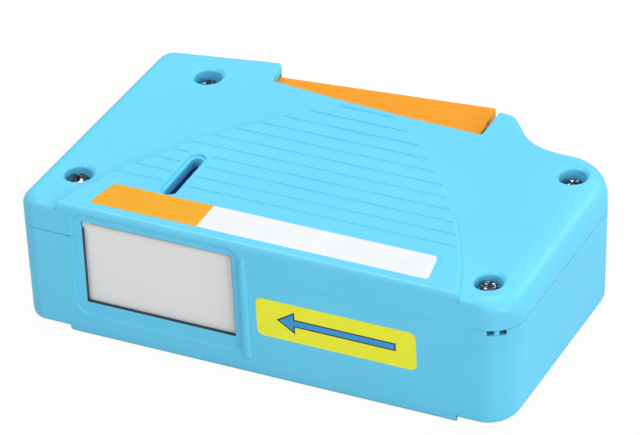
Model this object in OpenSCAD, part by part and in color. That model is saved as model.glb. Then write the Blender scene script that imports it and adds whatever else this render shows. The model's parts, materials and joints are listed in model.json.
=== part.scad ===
// Hand-held tape cassette that wipes the end faces of fibre optic connectors.
// Millimetres. X to the right, Y to the back, Z up, base on z = 0.

/* [Body] */
// Width of the body
body_w = 124; // [122:0.5:132]
// Depth from the front face to the tip of the lever at rest
total_d = 76; // [75.5:0.5:79.5]
// Height over the raised panels
body_h = 36; // [36:0.5:40]
// Height of the upper shell, from the parting line to the raised panel
upper_shell_h = 8.9; // [7.6:0.1:9.4]
// Thickness of the walls
wall = 2; // [1.8:0.1:2.2]
// Thickness of the floor
floor_t = 1.9; // [1.7:0.1:2.1]
// Drop of the top at the front, beside the raised panel
side_drop = 1.4; // [1:0.1:1.6]
// Rise of the underside beside the raised panel
foot_rise = 1.3; // [1:0.1:1.5]
// Rounding of the top edge
top_edge_r = 2.1; // [1.5:0.1:2.3]
// Rounding of the top edge along the left side
left_edge_r = 3.6; // [2.5:0.1:3.8]
// Rounding of the top edge along the right side
right_edge_r = 6; // [4:0.5:6.5]
// Rounding of the bottom edge along the right side
right_bottom_r = 3; // [2:0.1:3]
// Rounding of the bottom edge
bottom_edge_r = 1.5; // [1:0.1:1.8]
// Inward lean of the right side, from the parting line to the base
right_base_in = 1.3; // [1:0.1:2]
// Inward lean of the back and the left side
back_base_in = 0.4; // [0.2:0.1:0.6]

/* [Plan outline] */
// Depth of the back left corner
back_left_d = 67.9; // [67:0.1:69]
// Inset of the back left corner from the left side
back_left_in = 3.5; // [2.5:0.1:4]
// Depth of the peak left of the lever
peak_d = 73.3; // [72.5:0.1:74]
// Distance of the lever notch from the left side
notch_in = 34.3; // [34:0.1:35]
// Distance of the finger guard from the right side
guard_in = 34.4; // [33.8:0.1:34.4]
// Depth of the body at the left end of the notch
notch_left_d = 64.6; // [64:0.1:65]
// Depth of the body at the middle of the notch
notch_mid_d = 62; // [61.8:0.1:62.3]
// Depth of the body at the right end of the notch
notch_right_d = 61.2; // [61:0.1:61.5]
// Depth of the finger guard right of the lever
guard_d = 71.4; // [71:0.1:73]
// Width of the finger guard at its top
guard_w = 4.5; // [4:0.1:5.5]
// Depth of the body behind the take-up side
right_d = 61.9; // [61.5:0.1:63]
// Length of the sweep from the finger guard to the back
sweep_w = 7.4; // [6:0.1:9]
// Radius of the front left corner
front_left_r = 5; // [4:0.5:6]
// Radius of the front right corner
front_right_r = 8; // [7:0.5:9]
// Radius of the back right corner
back_right_r = 10; // [8:0.5:11]
// Radius of the back left corner
back_left_r = 4; // [3:0.5:5]

/* [Raised panel] */
// Radius of the two arcs that bound the panel
panel_r = 126.7; // [126:0.1:130]
// Distance of the panel from each side, at the front face
panel_side_in = 11.7; // [11:0.1:13]
// Distance of the arcs' centres in front of the front face
panel_back = 39.4; // [38:0.1:41]
// Inset of each side of the panel on the underside
base_panel_in = 1.5; // [1:0.1:2]
// Offset of the panel to the left of the middle
panel_off = 1; // [0:0.1:2]
// Number of grooves across the panel
groove_count = 11; // [9:1:11]
// Distance from one groove to the next
groove_pitch = 4.35; // [4.2:0.05:4.4]
// Distance of the first groove from the front face
groove_start = 16.3; // [16:0.1:17]
// Width of a groove
groove_w = 0.8; // [0.5:0.1:1.2]
// Depth of a groove
groove_deep = 0.3; // [0.3:0.05:0.6]

/* [Window and shutter] */
// Width of the window
window_w = 38; // [36:0.5:38]
// Distance of the top of the window from the top of the body
window_top_drop = 4.6; // [4.6:0.1:6.5]
// Distance of the right edge of the window from the left side
window_right_in = 54.9; // [54.6:0.1:55.4]
// Height of the bottom of the window
window_z = 9.4; // [9.4:0.1:10]
// Depth of the sunk field round the window
field_deep = 0.5; // [0.3:0.1:0.6]
// Thickness of the shutter
shutter_t = 1.2; // [1:0.1:1.2]
// Depth of the track that lets the shutter into the front wall
track_d = 0.6; // [0.4:0.1:0.6]
// Lap of the shutter over each side of the window
shutter_lap = 0.5; // [0.4:0.1:0.6]
// Width of a cleaning slot in the mask
slot_w = 6; // [5:0.5:6.5]
// Lap of the tape past each end of a cleaning slot
slot_lap = 1.5; // [1.3:0.1:2]
// Distance between the two cleaning slots
slot_pitch = 18; // [16:0.5:19]

/* [Labels and level window] */
// Distance of the top label from the right side
top_label_right_in = 20.9; // [20.6:0.1:25]
// Depth of the top label
top_label_d = 9; // [8:0.1:9]
// Distance of the top label from the left side
top_label_in = 18.4; // [18:0.1:20]
// Distance of the top label from the front face
top_label_front = 2.3; // [2.3:0.1:2.4]
// Lean of the left end of the top label
top_label_slant_w = 1.9; // [1:0.1:2.5]
// Length of the arrow label
arrow_label_w = 39.7; // [36:0.1:41]
// Height of the arrow label
arrow_label_h = 10.1; // [9:0.1:11]
// Distance of the arrow label from the left side
arrow_label_in = 60.8; // [60:0.1:62]
// Distance of the arrow label below the parting line
arrow_label_drop = 5; // [4:0.1:6]
// Thickness of the labels
label_t = 0.15; // [0.1:0.05:0.2]
// Width of the tape-level window at its mouth
level_w = 4.4; // [4:0.1:4.6]
// Length of the tape-level window
level_l = 18.1; // [17:0.1:18.1]
// Distance of the tape-level window from the left side
level_in = 33.1; // [33:0.1:33.3]
// Distance of the tape-level window from the front face
level_front = 11.6; // [11.6:0.1:12]

/* [Reels and tape] */
// Distance of the supply spool's axis from the front face
supply_front = 39.5; // [39.5:0.1:40]
// Distance of the take-up spool's axis from the left side
take_up_in = 78; // [77.8:0.1:78.2]
// Radius of a spool's flanges
spool_r = 22; // [20:0.1:22]
// Radius of a spool's core
core_r = 9; // [8.5:0.1:9.5]
// Gap over the reels, under the level window
reel_top_gap = 0.3; // [0.3:0.1:0.8]
// Thickness of the cleaning tape
tape_t = 0.25; // [0.2:0.05:0.3]
// Radius of the tape wound on the supply spool
supply_roll_r = 21; // [15:0.1:21]
// Radius of the tape wound on the take-up spool
take_up_roll_r = 13; // [11:0.1:18]
// Radius of the steel spindles
spindle_r = 1.5; // [1.2:0.1:1.6]
// Radius of the guide rollers
roller_r = 2.2; // [2:0.1:2.3]
// Thickness of the cleaning pad
pad_t = 3; // [2.5:0.1:3]

/* [Lever and gears] */
// Size of the gear teeth: the pitch circle grows by this for each tooth
tooth_size = 1; // [1:0.01:1.01]
// Teeth of the rack gear
rack_gear_teeth = 52; // [52:1:52]
// Teeth of the pinion
pinion_teeth = 13; // [13:1:13]
// Teeth of a whole ring of the lever's sector
sector_ring_teeth = 111; // [111:1:111]
// Travel of the lever in degrees
lever_travel = 10.2; // [9.9:0.1:10.2]
// Distance of the lever's pin from the left side
lever_pin_in = 26; // [25.8:0.1:26.2]
// Thickness of the lever's finger wall
lever_wall = 2; // [1.6:0.1:2.2]
// Step down from the body's top to the lever's top
lever_step = 2.7; // [2.6:0.1:2.8]

/* [Screws] */
// Radius of the screw heads
screw_head_r = 2.6; // [2.3:0.1:2.7]
// Radius of the screw shanks
screw_r = 1.3; // [1.2:0.1:1.4]
// Radius of the screw wells
well_r = 3.3; // [3.1:0.1:3.4]
// Depth of the screw wells below the top
well_deep = 4.5; // [4.2:0.1:4.6]

/* [Hidden] */

// Overrun of every cut past the face that it opens
over = 0.5;
// Running gap between flat faces that move past each other
run_gap = 0.4;
// Close gap between faces that seat on each other
seat_gap = 0.1;
// Radial clearance of every shaft in its bore
bore_gap = 0.06;
// Segments of a rounded corner of an outline
arc_steps = 6;
// Steps of a rounded edge from the side to the top
edge_steps = 5;
// Facets of the round parts
$fn = 64;

// Colours
shell_blue = [0.36, 0.80, 0.96];
lever_orange = [0.98, 0.58, 0.12];

// Body places
left_x = -body_w / 2;
right_x = body_w / 2;
front_y = -total_d / 2;
floor_z = foot_rise + floor_t;
parting_z = body_h - upper_shell_h;
well_z = body_h - well_deep;
window_h = body_h - window_top_drop - window_z;
arrow_label_z = parting_z - arrow_label_drop - arrow_label_h;
ceiling_z = body_h - side_drop - wall;
small_r = 0.8;
notch_edge_r = 0.4;
guard_edge_r = 1.2;
right_back_edge_r = 3;
guard_r = 3;
sweep_r = 14;
peak_r = 2;
peak_in = 1.3;
guard_rise = 0.5;
notch_x = left_x + notch_in;
guard_x = right_x - guard_in;
notch_w = guard_x - notch_x;

// Corners of the plan, counter-clockwise from the front left
plan = [[left_x, front_y], [right_x, front_y], [right_x, front_y + right_d],
    [guard_x + guard_w + sweep_w, front_y + right_d + guard_rise],
    [guard_x + guard_w, front_y + guard_d], [guard_x, front_y + guard_d + guard_rise],
    [guard_x, front_y + notch_right_d], [notch_x + notch_w / 2, front_y + notch_mid_d],
    [notch_x, front_y + notch_left_d], [notch_x - peak_in, front_y + peak_d],
    [left_x + back_left_in, front_y + back_left_d]];
plan_r = [front_left_r, front_right_r, back_right_r, sweep_r, guard_r, small_r, small_r,
    notch_w, small_r, peak_r, back_left_r];
// Rounding of the top edge along each side, from the front side on
plan_edge = [top_edge_r, right_edge_r, right_back_edge_r, top_edge_r, guard_edge_r, notch_edge_r,
    notch_edge_r, notch_edge_r, notch_edge_r, top_edge_r, left_edge_r];
// Rounding of the bottom edge along each side
plan_bottom = [bottom_edge_r, right_bottom_r, bottom_edge_r, bottom_edge_r, bottom_edge_r, bottom_edge_r,
    bottom_edge_r, bottom_edge_r, bottom_edge_r, bottom_edge_r, bottom_edge_r];
// Inward lean of each side at the base
plan_base_in = [0, right_base_in, back_base_in, back_base_in, back_base_in, 0, 0, 0, 0,
    back_base_in, back_base_in];

// Corners of the cavity, which runs out through the lever's mouth
mouth_out = 12;
mouth_x = guard_x + seat_gap;
cavity = [[left_x + wall, front_y + wall], [right_x - wall, front_y + wall],
    [right_x - wall, front_y + right_d - wall], [mouth_x, front_y + right_d - wall],
    [mouth_x, front_y + peak_d + mouth_out], [notch_x, front_y + peak_d + mouth_out],
    [notch_x - small_r, front_y + peak_d - wall - 2 * seat_gap],
    [left_x + back_left_in + wall, front_y + back_left_d - wall]];
cavity_r = [front_left_r - wall, front_right_r - wall, back_right_r - wall, small_r, small_r,
    small_r, small_r, back_left_r - wall];
// Extra inset of the cavity at the right, where the side leans and its edge is well rounded
cavity_in = [0, right_base_in, 0, 0, 0, 0, 0, 0];

// Layers of the mechanism, from the floor up
lever_flange_t = 1.6;
lever_low_z = floor_z + run_gap;
gear_z = lever_low_z + lever_flange_t + run_gap;
gear_t = 1.8;
pinion_z = gear_z + gear_t;
sector_z = pinion_z + run_gap;
sector_t = 2;
spool_z = sector_z + sector_t + run_gap + seat_gap;
spool_flange_t = 1.2;
tape_side_gap = 0.3;
lens_t = 1;
tape_z = spool_z + spool_flange_t + tape_side_gap;
spool_top_z = ceiling_z - lens_t - reel_top_gap;
tape_h = spool_top_z - spool_flange_t - tape_side_gap - tape_z;
lever_top_z = body_h - lever_step;
pocket_z = lever_top_z + tape_side_gap;

// Shutter, rack and gears
tooth_out = 0.8 * tooth_size;
tooth_in = 1.05 * tooth_size;
backlash = 0.16;
pressure_angle = 20;
rack_back_t = 1.4;
shutter_y = front_y + wall + run_gap / 2;
rack_pitch_y = shutter_y + rack_back_t + tooth_in;
rack_gear_r = tooth_size * rack_gear_teeth / 2;
pinion_r = tooth_size * pinion_teeth / 2;
sector_r = tooth_size * sector_ring_teeth / 2;
take_up = [left_x + take_up_in, rack_pitch_y + rack_gear_r];
lever_dx = left_x + take_up_in - (left_x + lever_pin_in);
lever_arm = sector_r + pinion_r;
lever_pivot = [left_x + lever_pin_in, take_up.y + sqrt(lever_arm * lever_arm - lever_dx * lever_dx)];
sector_turn = atan2(take_up.y - lever_pivot.y, take_up.x - lever_pivot.x);
shutter_travel = rack_gear_r * lever_travel * PI / 180 * sector_ring_teeth / pinion_teeth;
window_x = left_x + window_right_in - window_w;
shutter_x = window_x - shutter_lap;
shutter_w = window_w + 2 * shutter_lap;
shutter_z = gear_z + gear_t + run_gap + bore_gap;
shutter_top_z = ceiling_z - run_gap + seat_gap;
rack_over = 2;
rack_left_x = take_up.x - shutter_travel - rack_over;
rack_right_over = 1.3;
rack_end_l = 3.5;
rack_end_w = 0.9;
rack_right_x = take_up.x + rack_right_over;
channel_x = rack_right_x + shutter_travel + run_gap;
channel_y = shutter_y - run_gap;

// Mask, tape path and pad
rail_t = 1.2;
rail_z = gear_z + gear_t + run_gap;
rail_y = shutter_y + shutter_t + tape_side_gap;
mask_plate_t = 1.5;
mask_d = 4.1;
mask_y = rail_y;
mask_z = rail_z + rail_t;
mask_top_z = ceiling_z - rail_t + seat_gap;
collar_t = 1.2;
tape_y = mask_y + mask_d + 2 * seat_gap;
roll_gap = 0.15;
roller_y = tape_y + tape_t + roll_gap + roller_r;
left_roller = [window_x - roller_r / 2, roller_y];
right_roller = [window_x + window_w + bore_gap + roller_r * 0.7, roller_y];
supply = [left_x + level_in, front_y + supply_front];
pad_side_in = 2.5;
pad_w = window_w - 2 * pad_side_in;
pad_y = tape_y + tape_t + seat_gap / 2;
slot_cx = window_x + window_w / 2;
slot_cz = tape_z + tape_h / 2;
slot_h = tape_h - 2 * slot_lap;
pin_r = 0.9;
roller_z = spool_z + tape_side_gap;
roller_top_z = spool_top_z - seat_gap;

// Spools and drive wheel
hub_r = 3.4;
clutch_seat_r = 2.6;
post_r = 4;
post_rise = 5.7;
post_top_z = spool_z + post_rise;
washer_t = 0.5;
core_wall = 1.6;
collar_z = post_top_z + washer_t + seat_gap;
spool_web_t = 1.5;
collar_h = 7.4;
ratchet_teeth = 24;
ratchet_tooth_h = 0.8;
ratchet_h = 5;
rim_teeth = 48;
rim_tooth_h = 0.6;
spindle_end_t = 0.6;
spindle_z = foot_rise + spindle_end_t;
spindle_top_z = ceiling_z + spindle_end_t;
roof_boss_h = 4;
clutch_t = 3.2;
clutch_z = spool_z + spool_flange_t + seat_gap;

// Lever
hub_lever_r = 2.9;
lever_pin_r = 1.2;
lever_neck_r = 2.4;
lever_face_d = 69.9;
lever_face_in = 31.5;
lever_end_gap = 2;
lever_flange_d = 58;
lever_end_d = 67.8;

// Springs
wire_r = 0.3;
coil_r = lever_neck_r + wire_r + run_gap;
coil_turns = 5;
coil_rise_h = 0.75;
coil_z = tape_z + wire_r;
leg_l = 7;
leaf_t = 0.5;
leaf_h = 1;

// Screw places, from the nearest side and the front face, with their columns
front_left_screw_in = 9.5;
front_left_screw_d = 13.9;
back_left_screw_in = 19.2;
back_left_screw_d = 61.1;
back_right_screw_in = 8.2;
back_right_screw_d = 53.4;
front_right_screw_in = 9.1;
front_right_screw_d = 8.6;
screws = [[left_x + front_left_screw_in, front_y + front_left_screw_d],
    [left_x + back_left_screw_in, front_y + back_left_screw_d],
    [right_x - back_right_screw_in, front_y + back_right_screw_d],
    [right_x - front_right_screw_in, front_y + front_right_screw_d]];
boss_r = 3;
column_wall = 1.1;
column_r = well_r + column_wall;
neck_r = 3.2;
head_h = 2;
recess_turn = 20;
screw_l = 14;
screw_end_gap = 1;
well_lip = 0.8;

// Details
// Points inside the plan from which its three parts are wholly seen: left, right and middle
hubs = [[(left_x + notch_x) / 2, 0], [guard_x + guard_w, front_y + notch_right_d - right_edge_r],
    [(notch_x + guard_x) / 2, front_y / 2]];
corner_n = arc_steps + 1;
half_corner = arc_steps / 2;
hub_ids = [
    concat([for (i = [8 * corner_n + half_corner:11 * corner_n - 1]) i], [for (i = [0:arc_steps]) i]),
    [for (i = [corner_n:6 * corner_n + half_corner]) i],
    concat([arc_steps, corner_n], [for (i = [6 * corner_n + half_corner:8 * corner_n + half_corner]) i])];
// The pointed panel between two arcs, on the top and on the underside
panel_x = (left_x + right_x) / 2 - panel_off;
panel_cy = front_y - panel_back;
panel_half_w = body_w / 2 - panel_side_in;
panel_arm = sqrt(panel_r * panel_r - (front_y - panel_cy) * (front_y - panel_cy)) - panel_half_w;
panel_steps = 20;
// Slope along both arcs of the raised panel
panel_slope_w = 1;
panel_slope_h = 0.5;
// Shadow line round the body, under the parting line
reveal_h = 0.15;
reveal_d = 0.15;
// The panel's front sits a hair behind the face, so that no two faces share a plane
panel_front = front_y + seat_gap / 2;
nick_w = 0.4;
nick_h = 2.2;
field_left = 2.5;
field_low = 3.4;
field_right = 2;
field_drop = 2.5;
field_top_z = body_h - field_drop;
field_r = 3;
seat_t = 1.4;
rib_t = 1.4;
pin_boss_r = 1.8;
level_bevel = 0.8;
pocket_d = 45.5;
lever_pin_hold = 1;
lever_pin_top_z = pocket_z + lever_pin_hold;
ledge_t = 1.9;
eyelet_turn = 30;
eyelet_w = 4.4;
eyelet_h = 1.3;
eyelet_d = 3.4;
eyelet_post_r = 0.7;
eyelet_wall = 1;
rail_side_in = 5;
rail_end_in = 16;
rail_x = left_x + rail_side_in;
rail_w = right_x - rail_end_in - rail_x;
rail_d = 3.8;
rail_post_w = 6;
rail_post_in = 6;
holder_t = 2;
holder_y = pad_y + pad_t;
leaf_root_out = 6.4;
leaf_root_r = spool_r + leaf_root_out;
leaf_root_turn = -6;
leaf_post_w = 3;
supply_leaf_turn = 166;
lens_over = 1.4;
flank_steps = 3;
// Spring arm of the clutch, a strip that spirals outwards to its tooth
clutch_ring_r = 4.2;
clutch_tip_gap = 0.35;
clutch_tip_r = core_r - core_wall - clutch_tip_gap;
clutch_turn = 360 / ratchet_teeth - 1;
arm_t = 0.8;
arm_sweep = 150;
arm_steps = 12;
// Leaf spring whose hooked end rides on the teeth of a spool's rim
leaf_tip_turn = 22.1;
// Lever
lever_end_r = guard_x - lever_end_gap - lever_pivot.x;
lever_tip_turn = asin((front_y + total_d - lever_pivot.y) / lever_end_r);
lever_flange_turn = asin((front_y + lever_flange_d - lever_pivot.y) / lever_end_r);
lever_end_turn = asin((front_y + lever_end_d - lever_pivot.y) / lever_end_r);
face_left = [left_x + lever_face_in, front_y + lever_face_d];
face_right = polar(lever_pivot, lever_end_r, lever_tip_turn);
sector_rim_w = 5;
sector_first = -2;
sector_last = 4;
sector_low = (sector_first - 0.2) * 360 / sector_ring_teeth;
sector_high = (sector_last + 1.2) * 360 / sector_ring_teeth;
// Torsion spring: rings of wire along a coil with two straight legs
coil_from = 88;
coil_to = 87 + 360 * coil_turns;
ring_step = 22.5;
wire_sides = 6;

function unit(v) = v / norm(v);
function turn_of(a, b) = a.x * b.y - a.y * b.x;
function at(i, list) = list[(i + len(list)) % len(list)];
function side_dir(c, i) = unit(at(i + 1, c) - at(i, c));

// Corner i after side i - 1 moves in by d0 and side i by d1
function inset_corner(c, i, d0, d1) =
    let (u0 = side_dir(c, i - 1), u1 = side_dir(c, i))
    at(i, c) + (d0 * u1 - d1 * u0) / turn_of(u0, u1);
function inset_plan(c, d) = [for (i = [0:len(c) - 1]) inset_corner(c, i, at(i - 1, d), d[i])];

// Rounded outline through the corners c with radii r, each side moved in by d
function rounded(c, r, d) =
    let (q = inset_plan(c, d))
    [for (i = [0:len(c) - 1])
        let (u0 = side_dir(q, i - 1), u1 = side_dir(q, i), turn = turn_of(u0, u1),
            angle = atan2(turn, u0 * u1), way = sign(turn),
            rr = max(r[i] - way * (at(i - 1, d) + d[i]) / 2, bore_gap),
            n0 = [-u0.y, u0.x], centre = q[i] - u0 * abs(rr * tan(angle / 2)) + n0 * rr * way,
            v = -way * rr * n0)
        for (k = [0:arc_steps])
            let (a = angle * k / arc_steps)
            centre + [cos(a) * v.x - sin(a) * v.y, sin(a) * v.x + cos(a) * v.y]];
// One value for each point of a rounded outline, blended round each corner
function spread(values) = [for (i = [0:len(values) - 1]) for (k = [0:arc_steps])
    at(i - 1, values) + (values[i] - at(i - 1, values)) * k / arc_steps];
function level(points, z) = [for (p = points) [p.x, p.y, z]];

// Solid through rings of points that have the same count
module loft(rings) {
    n = len(rings[0]);
    last = (len(rings) - 1) * n;
    base = [for (i = [0:n - 1]) i];
    lid = [for (i = [n - 1:-1:0]) last + i];
    sides = [for (j = [0:len(rings) - 2]) for (i = [0:n - 1])
        let (a = j * n + i, b = j * n + (i + 1) % n)
        each [[a, a + n, b + n], [a, b + n, b]]];
    polyhedron([for (ring = rings) each ring], concat([base], sides, [lid]));
}

// Height of the top at a point, with drop the fall from the back to the front
function top_at(p, drop) = body_h - drop * (total_d / 2 - p.y) / total_d;
// Solid through rings of the plan's outline, with its two ends drawn as fans round the hubs
module body_loft(rings, base, lid) {
    n = len(rings[0]);
    last = (len(rings) - 1) * n;
    hub = last + n;
    ends = [for (h = [0:2]) let (ids = hub_ids[h], m = len(ids)) for (k = [0:m - 1])
        let (i = ids[k], j = ids[(k + 1) % m])
        each [[hub + h, i, j], [hub + 3 + h, last + j, last + i]]];
    sides = [for (j = [0:len(rings) - 2]) for (i = [0:n - 1])
        let (a = j * n + i, b = j * n + (i + 1) % n)
        each [[a, a + n, b + n], [a, b + n, b]]];
    polyhedron(concat([for (ring = rings) each ring], base, lid), concat(ends, sides));
}
function top_ring(a, drop) =
    let (points = rounded(plan, plan_r, plan_edge * (1 - cos(a))), r = spread(plan_edge))
    [for (i = [0:len(points) - 1])
        [points[i].x, points[i].y, top_at(points[i], drop) - r[i] * (1 - sin(a))]];
module top_form(drop) {
    body_loft(concat([level(rounded(plan, plan_r, plan_edge * 0), parting_z)],
        [for (k = [0:edge_steps]) top_ring(90 * k / edge_steps, drop)]),
        level(hubs, parting_z), [for (p = hubs) [p.x, p.y, top_at(p, drop)]]);
}
function base_ring(a, base) =
    let (points = rounded(plan, plan_r, plan_base_in + plan_bottom * (1 - cos(a))), r = spread(plan_bottom))
    [for (i = [0:len(points) - 1]) [points[i].x, points[i].y, base + r[i] * (1 - sin(a))]];
module base_form(base) {
    body_loft(concat([for (k = [edge_steps:-1:0]) base_ring(90 * k / edge_steps, base)],
        [level(rounded(plan, plan_r, plan_edge * 0), parting_z)]),
        level(hubs, base), level(hubs, parting_z));
}

function panel_reach(y) = sqrt(panel_r * panel_r - (y - panel_cy) * (y - panel_cy)) - panel_arm;
// Back edge of the body behind the panel, a little inside the notch
function notch_y(x) =
    let (centre_x = notch_x + notch_w / 2, end_d = x < centre_x ? notch_left_d : notch_right_d)
    front_y + notch_mid_d + (end_d - notch_mid_d) * abs(x - centre_x) * 2 / notch_w - notch_edge_r;
function arc_end(way, y, tries) = tries == 0 ? y
    : arc_end(way, notch_y(panel_x + way * panel_reach(y)), tries - 1);
function panel_arc(way, side_in) =
    let (y0 = front_y - over, y1 = arc_end(way, front_y + notch_mid_d, arc_steps))
    [for (k = [0:panel_steps]) let (y = y0 + (y1 - y0) * k / panel_steps)
        [panel_x + way * (panel_reach(y) - side_in), y]];
function front_round(r, z, way) = [for (k = [edge_steps:-1:0]) let (a = 90 * k / edge_steps)
    [panel_front + r * (1 - cos(a)), z - way * r * (1 - sin(a))]];
// Block under the panel, its front edge rounded by r; way is 1 at the top and -1 at the base
module panel_block(r, z, z_in, way) {
    side_in = way > 0 ? 0 : base_panel_in;
    left = panel_arc(-1, side_in);
    right = panel_arc(1, side_in);
    intersection() {
        translate([left_x, 0, 0])
            rotate([90, 0, 90])
                linear_extrude(body_w)
                    polygon(concat([[total_d / 2, z_in], [total_d / 2, z]], front_round(r, z, way),
                        [[panel_front, z_in]]));
        translate([0, 0, min(z, z_in) - over])
            linear_extrude(abs(z - z_in) + 2 * over)
                polygon(concat(right, [for (k = [panel_steps:-1:0]) left[k]]));
    }
}

// What a sloped edge takes off the raised panel outside its two arcs
module panel_slope() {
    for (way = [-1, 1])
        translate([panel_x - way * panel_arm, panel_cy, body_h])
            rotate_extrude($fn = 4 * $fn)
                polygon([[panel_r + panel_slope_w, -2 * panel_slope_h],
                    [panel_r - 2 * panel_slope_w, panel_slope_h],
                    [panel_r + panel_slope_w, panel_slope_h]]);
}

// Straight slot with round ends along Y
module stadium(w, l, h) {
    for (y = [w / 2, l - w / 2])
        translate([0, y, 0])
            cylinder(d = w, h = h);
    translate([-w / 2, w / 2, 0])
        cube([w, l - w, h]);
}

// Plate with round corners in the XZ plane, from its low corner, y towards the back
module plate_xz(w, h, t, r) {
    translate([0, t, 0])
        rotate([90, 0, 0])
            linear_extrude(t)
                polygon(rounded([[0, 0], [w, 0], [w, h], [0, h]], [r, r, r, r], [0, 0, 0, 0]));
}

module window_cuts() {
    translate([window_x, front_y - over, window_z])
        cube([window_w, wall + 2 * over, window_h]);
    translate([window_x - nick_w, front_y - over, window_z + window_h - nick_h])
        cube([2 * nick_w, wall + 2 * over, nick_h]);
    translate([window_x - field_left, front_y - over, window_z - field_low])
        plate_xz(window_w + field_left + field_right, field_top_z - window_z + field_low,
            over + field_deep, field_r);
}

// Track in which the shutter's plate slides, in the inner face of the front wall
module shutter_track() {
    translate([shutter_x - run_gap, front_y + wall - track_d, shutter_z - run_gap])
        cube([shutter_w + shutter_travel + 2 * run_gap, track_d + seat_gap,
            ceiling_z - shutter_z + run_gap]);
}

module spool_room() {
    for (p = [supply, take_up])
        translate([p.x, p.y, floor_z])
            cylinder(r = spool_r + run_gap, h = spool_top_z + seat_gap * 2 - floor_z);
}

module top_shell() {
    color(shell_blue)
    difference() {
        union() {
            difference() {
                union() {
                    top_form(side_drop);
                    difference() {
                        panel_block(top_edge_r, body_h, well_z, 1);
                        panel_slope();
                    }
                }
                translate([0, 0, parting_z - over])
                    linear_extrude(ceiling_z - parting_z + over)
                        polygon(rounded(cavity, cavity_r, cavity_in));
                translate([0, 0, parting_z])
                    linear_extrude(pocket_z - parting_z)
                        intersection() {
                            polygon(rounded(cavity, cavity_r, cavity_in));
                            translate([lever_pivot.x - hub_lever_r - 2 * run_gap, front_y + pocket_d])
                                square([mouth_x - lever_pivot.x + hub_lever_r + 2 * run_gap,
                                    peak_d + mouth_out - pocket_d + over]);
                        }
            }
            difference() {
                for (p = screws)
                    translate([p.x, p.y, 0]) {
                        translate([0, 0, parting_z])
                            cylinder(r = neck_r, h = well_z - parting_z);
                        translate([0, 0, well_z - seat_t])
                            cylinder(r = column_r, h = ceiling_z + seat_t - well_z + over);
                    }
                spool_room();
            }
            translate([left_x + front_left_r, rail_y, mask_top_z + seat_gap])
                cube([body_w - front_left_r - front_right_r - 2 * column_r, rib_t,
                    ceiling_z - mask_top_z]);
            for (p = [supply, take_up])
                translate([p.x, p.y, ceiling_z - roof_boss_h])
                    cylinder(r = neck_r, h = roof_boss_h + over);
            for (p = [left_roller, right_roller])
                translate([p.x, p.y, roller_top_z + run_gap])
                    cylinder(r = pin_boss_r, h = ceiling_z - roller_top_z);
        }
        window_cuts();
        shutter_track();
        for (p = screws)
            translate([p.x, p.y, 0]) {
                translate([0, 0, parting_z - over])
                    cylinder(r = screw_r + 5 * bore_gap, h = well_z - parting_z + 2 * over);
                translate([0, 0, well_z])
                    cylinder(r = well_r, h = body_h - well_z + over);
                translate([0, 0, top_at(p, side_drop) - well_lip])
                    cylinder(r1 = well_r, r2 = well_r + 2 * well_lip, h = 2 * well_lip);
            }
        for (p = [supply, take_up])
            translate([p.x, p.y, ceiling_z - roof_boss_h - over])
                cylinder(r = spindle_r + bore_gap,
                    h = spindle_top_z + seat_gap - ceiling_z + roof_boss_h + over);
        for (p = [left_roller, right_roller])
            translate([p.x, p.y, roller_top_z])
                cylinder(r = pin_r + bore_gap, h = spindle_top_z + seat_gap - roller_top_z);
        translate([lever_pivot.x, lever_pivot.y, parting_z])
            cylinder(r = lever_pin_r + bore_gap, h = lever_pin_top_z + seat_gap - parting_z);
        translate([supply.x, front_y + level_front, 0]) {
            translate([0, 0, body_h - level_bevel])
                stadium(level_w, level_l, level_bevel + over);
            translate([0, level_bevel, ceiling_z - over])
                stadium(level_w - 2 * level_bevel, level_l - 2 * level_bevel, body_h);
        }
        for (i = [0:groove_count - 1])
            let (y = front_y + groove_start + i * groove_pitch, reach = panel_reach(y) - groove_pitch / 4)
            groove(y, reach);
        top_label_form(body_h - label_t, label_t + over);
    }
}

// One groove, kept clear of the rim of the tape-level window
module groove(y, reach) {
    rim = level_w / 2 + level_bevel;
    crosses = y > front_y + level_front - level_bevel
        && y < front_y + level_front + level_l + level_bevel;
    spans = crosses ? [[panel_x - reach, supply.x - rim], [supply.x + rim, panel_x + reach]]
        : [[panel_x - reach, panel_x + reach]];
    for (s = spans)
        translate([s[0], y - groove_w / 2, body_h - groove_deep])
            cube([s[1] - s[0], groove_w, groove_deep + over]);
}

module top_label_form(z, t) {
    top_label_w = body_w - top_label_in - top_label_right_in;
    translate([left_x + top_label_in, front_y + top_label_front, z])
        linear_extrude(t)
            polygon(rounded([[0, 0], [top_label_w, 0], [top_label_w, top_label_d],
                [top_label_slant_w, top_label_d]], [small_r, 2 * small_r, 2 * small_r, small_r],
                [0, 0, 0, 0]));
}
module top_label() {
    color([0.97, 0.97, 0.95])
        top_label_form(body_h - label_t, label_t);
}
module arrow_label_form(out) {
    translate([left_x + arrow_label_in, front_y - out, arrow_label_z])
        plate_xz(arrow_label_w, arrow_label_h, label_t + out, 2 * small_r);
}
module arrow_label() {
    color([0.88, 0.90, 0.20])
        arrow_label_form(0);
}

// Fine step round the rim of the lower shell
module shadow_line() {
    translate([0, 0, parting_z - reveal_h])
        linear_extrude(reveal_h + over)
            difference() {
                translate([left_x - over, front_y - over])
                    square([body_w + 2 * over, total_d + 2 * over]);
                polygon(rounded(plan, plan_r, [for (e = plan_edge) reveal_d]));
            }
}

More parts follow.
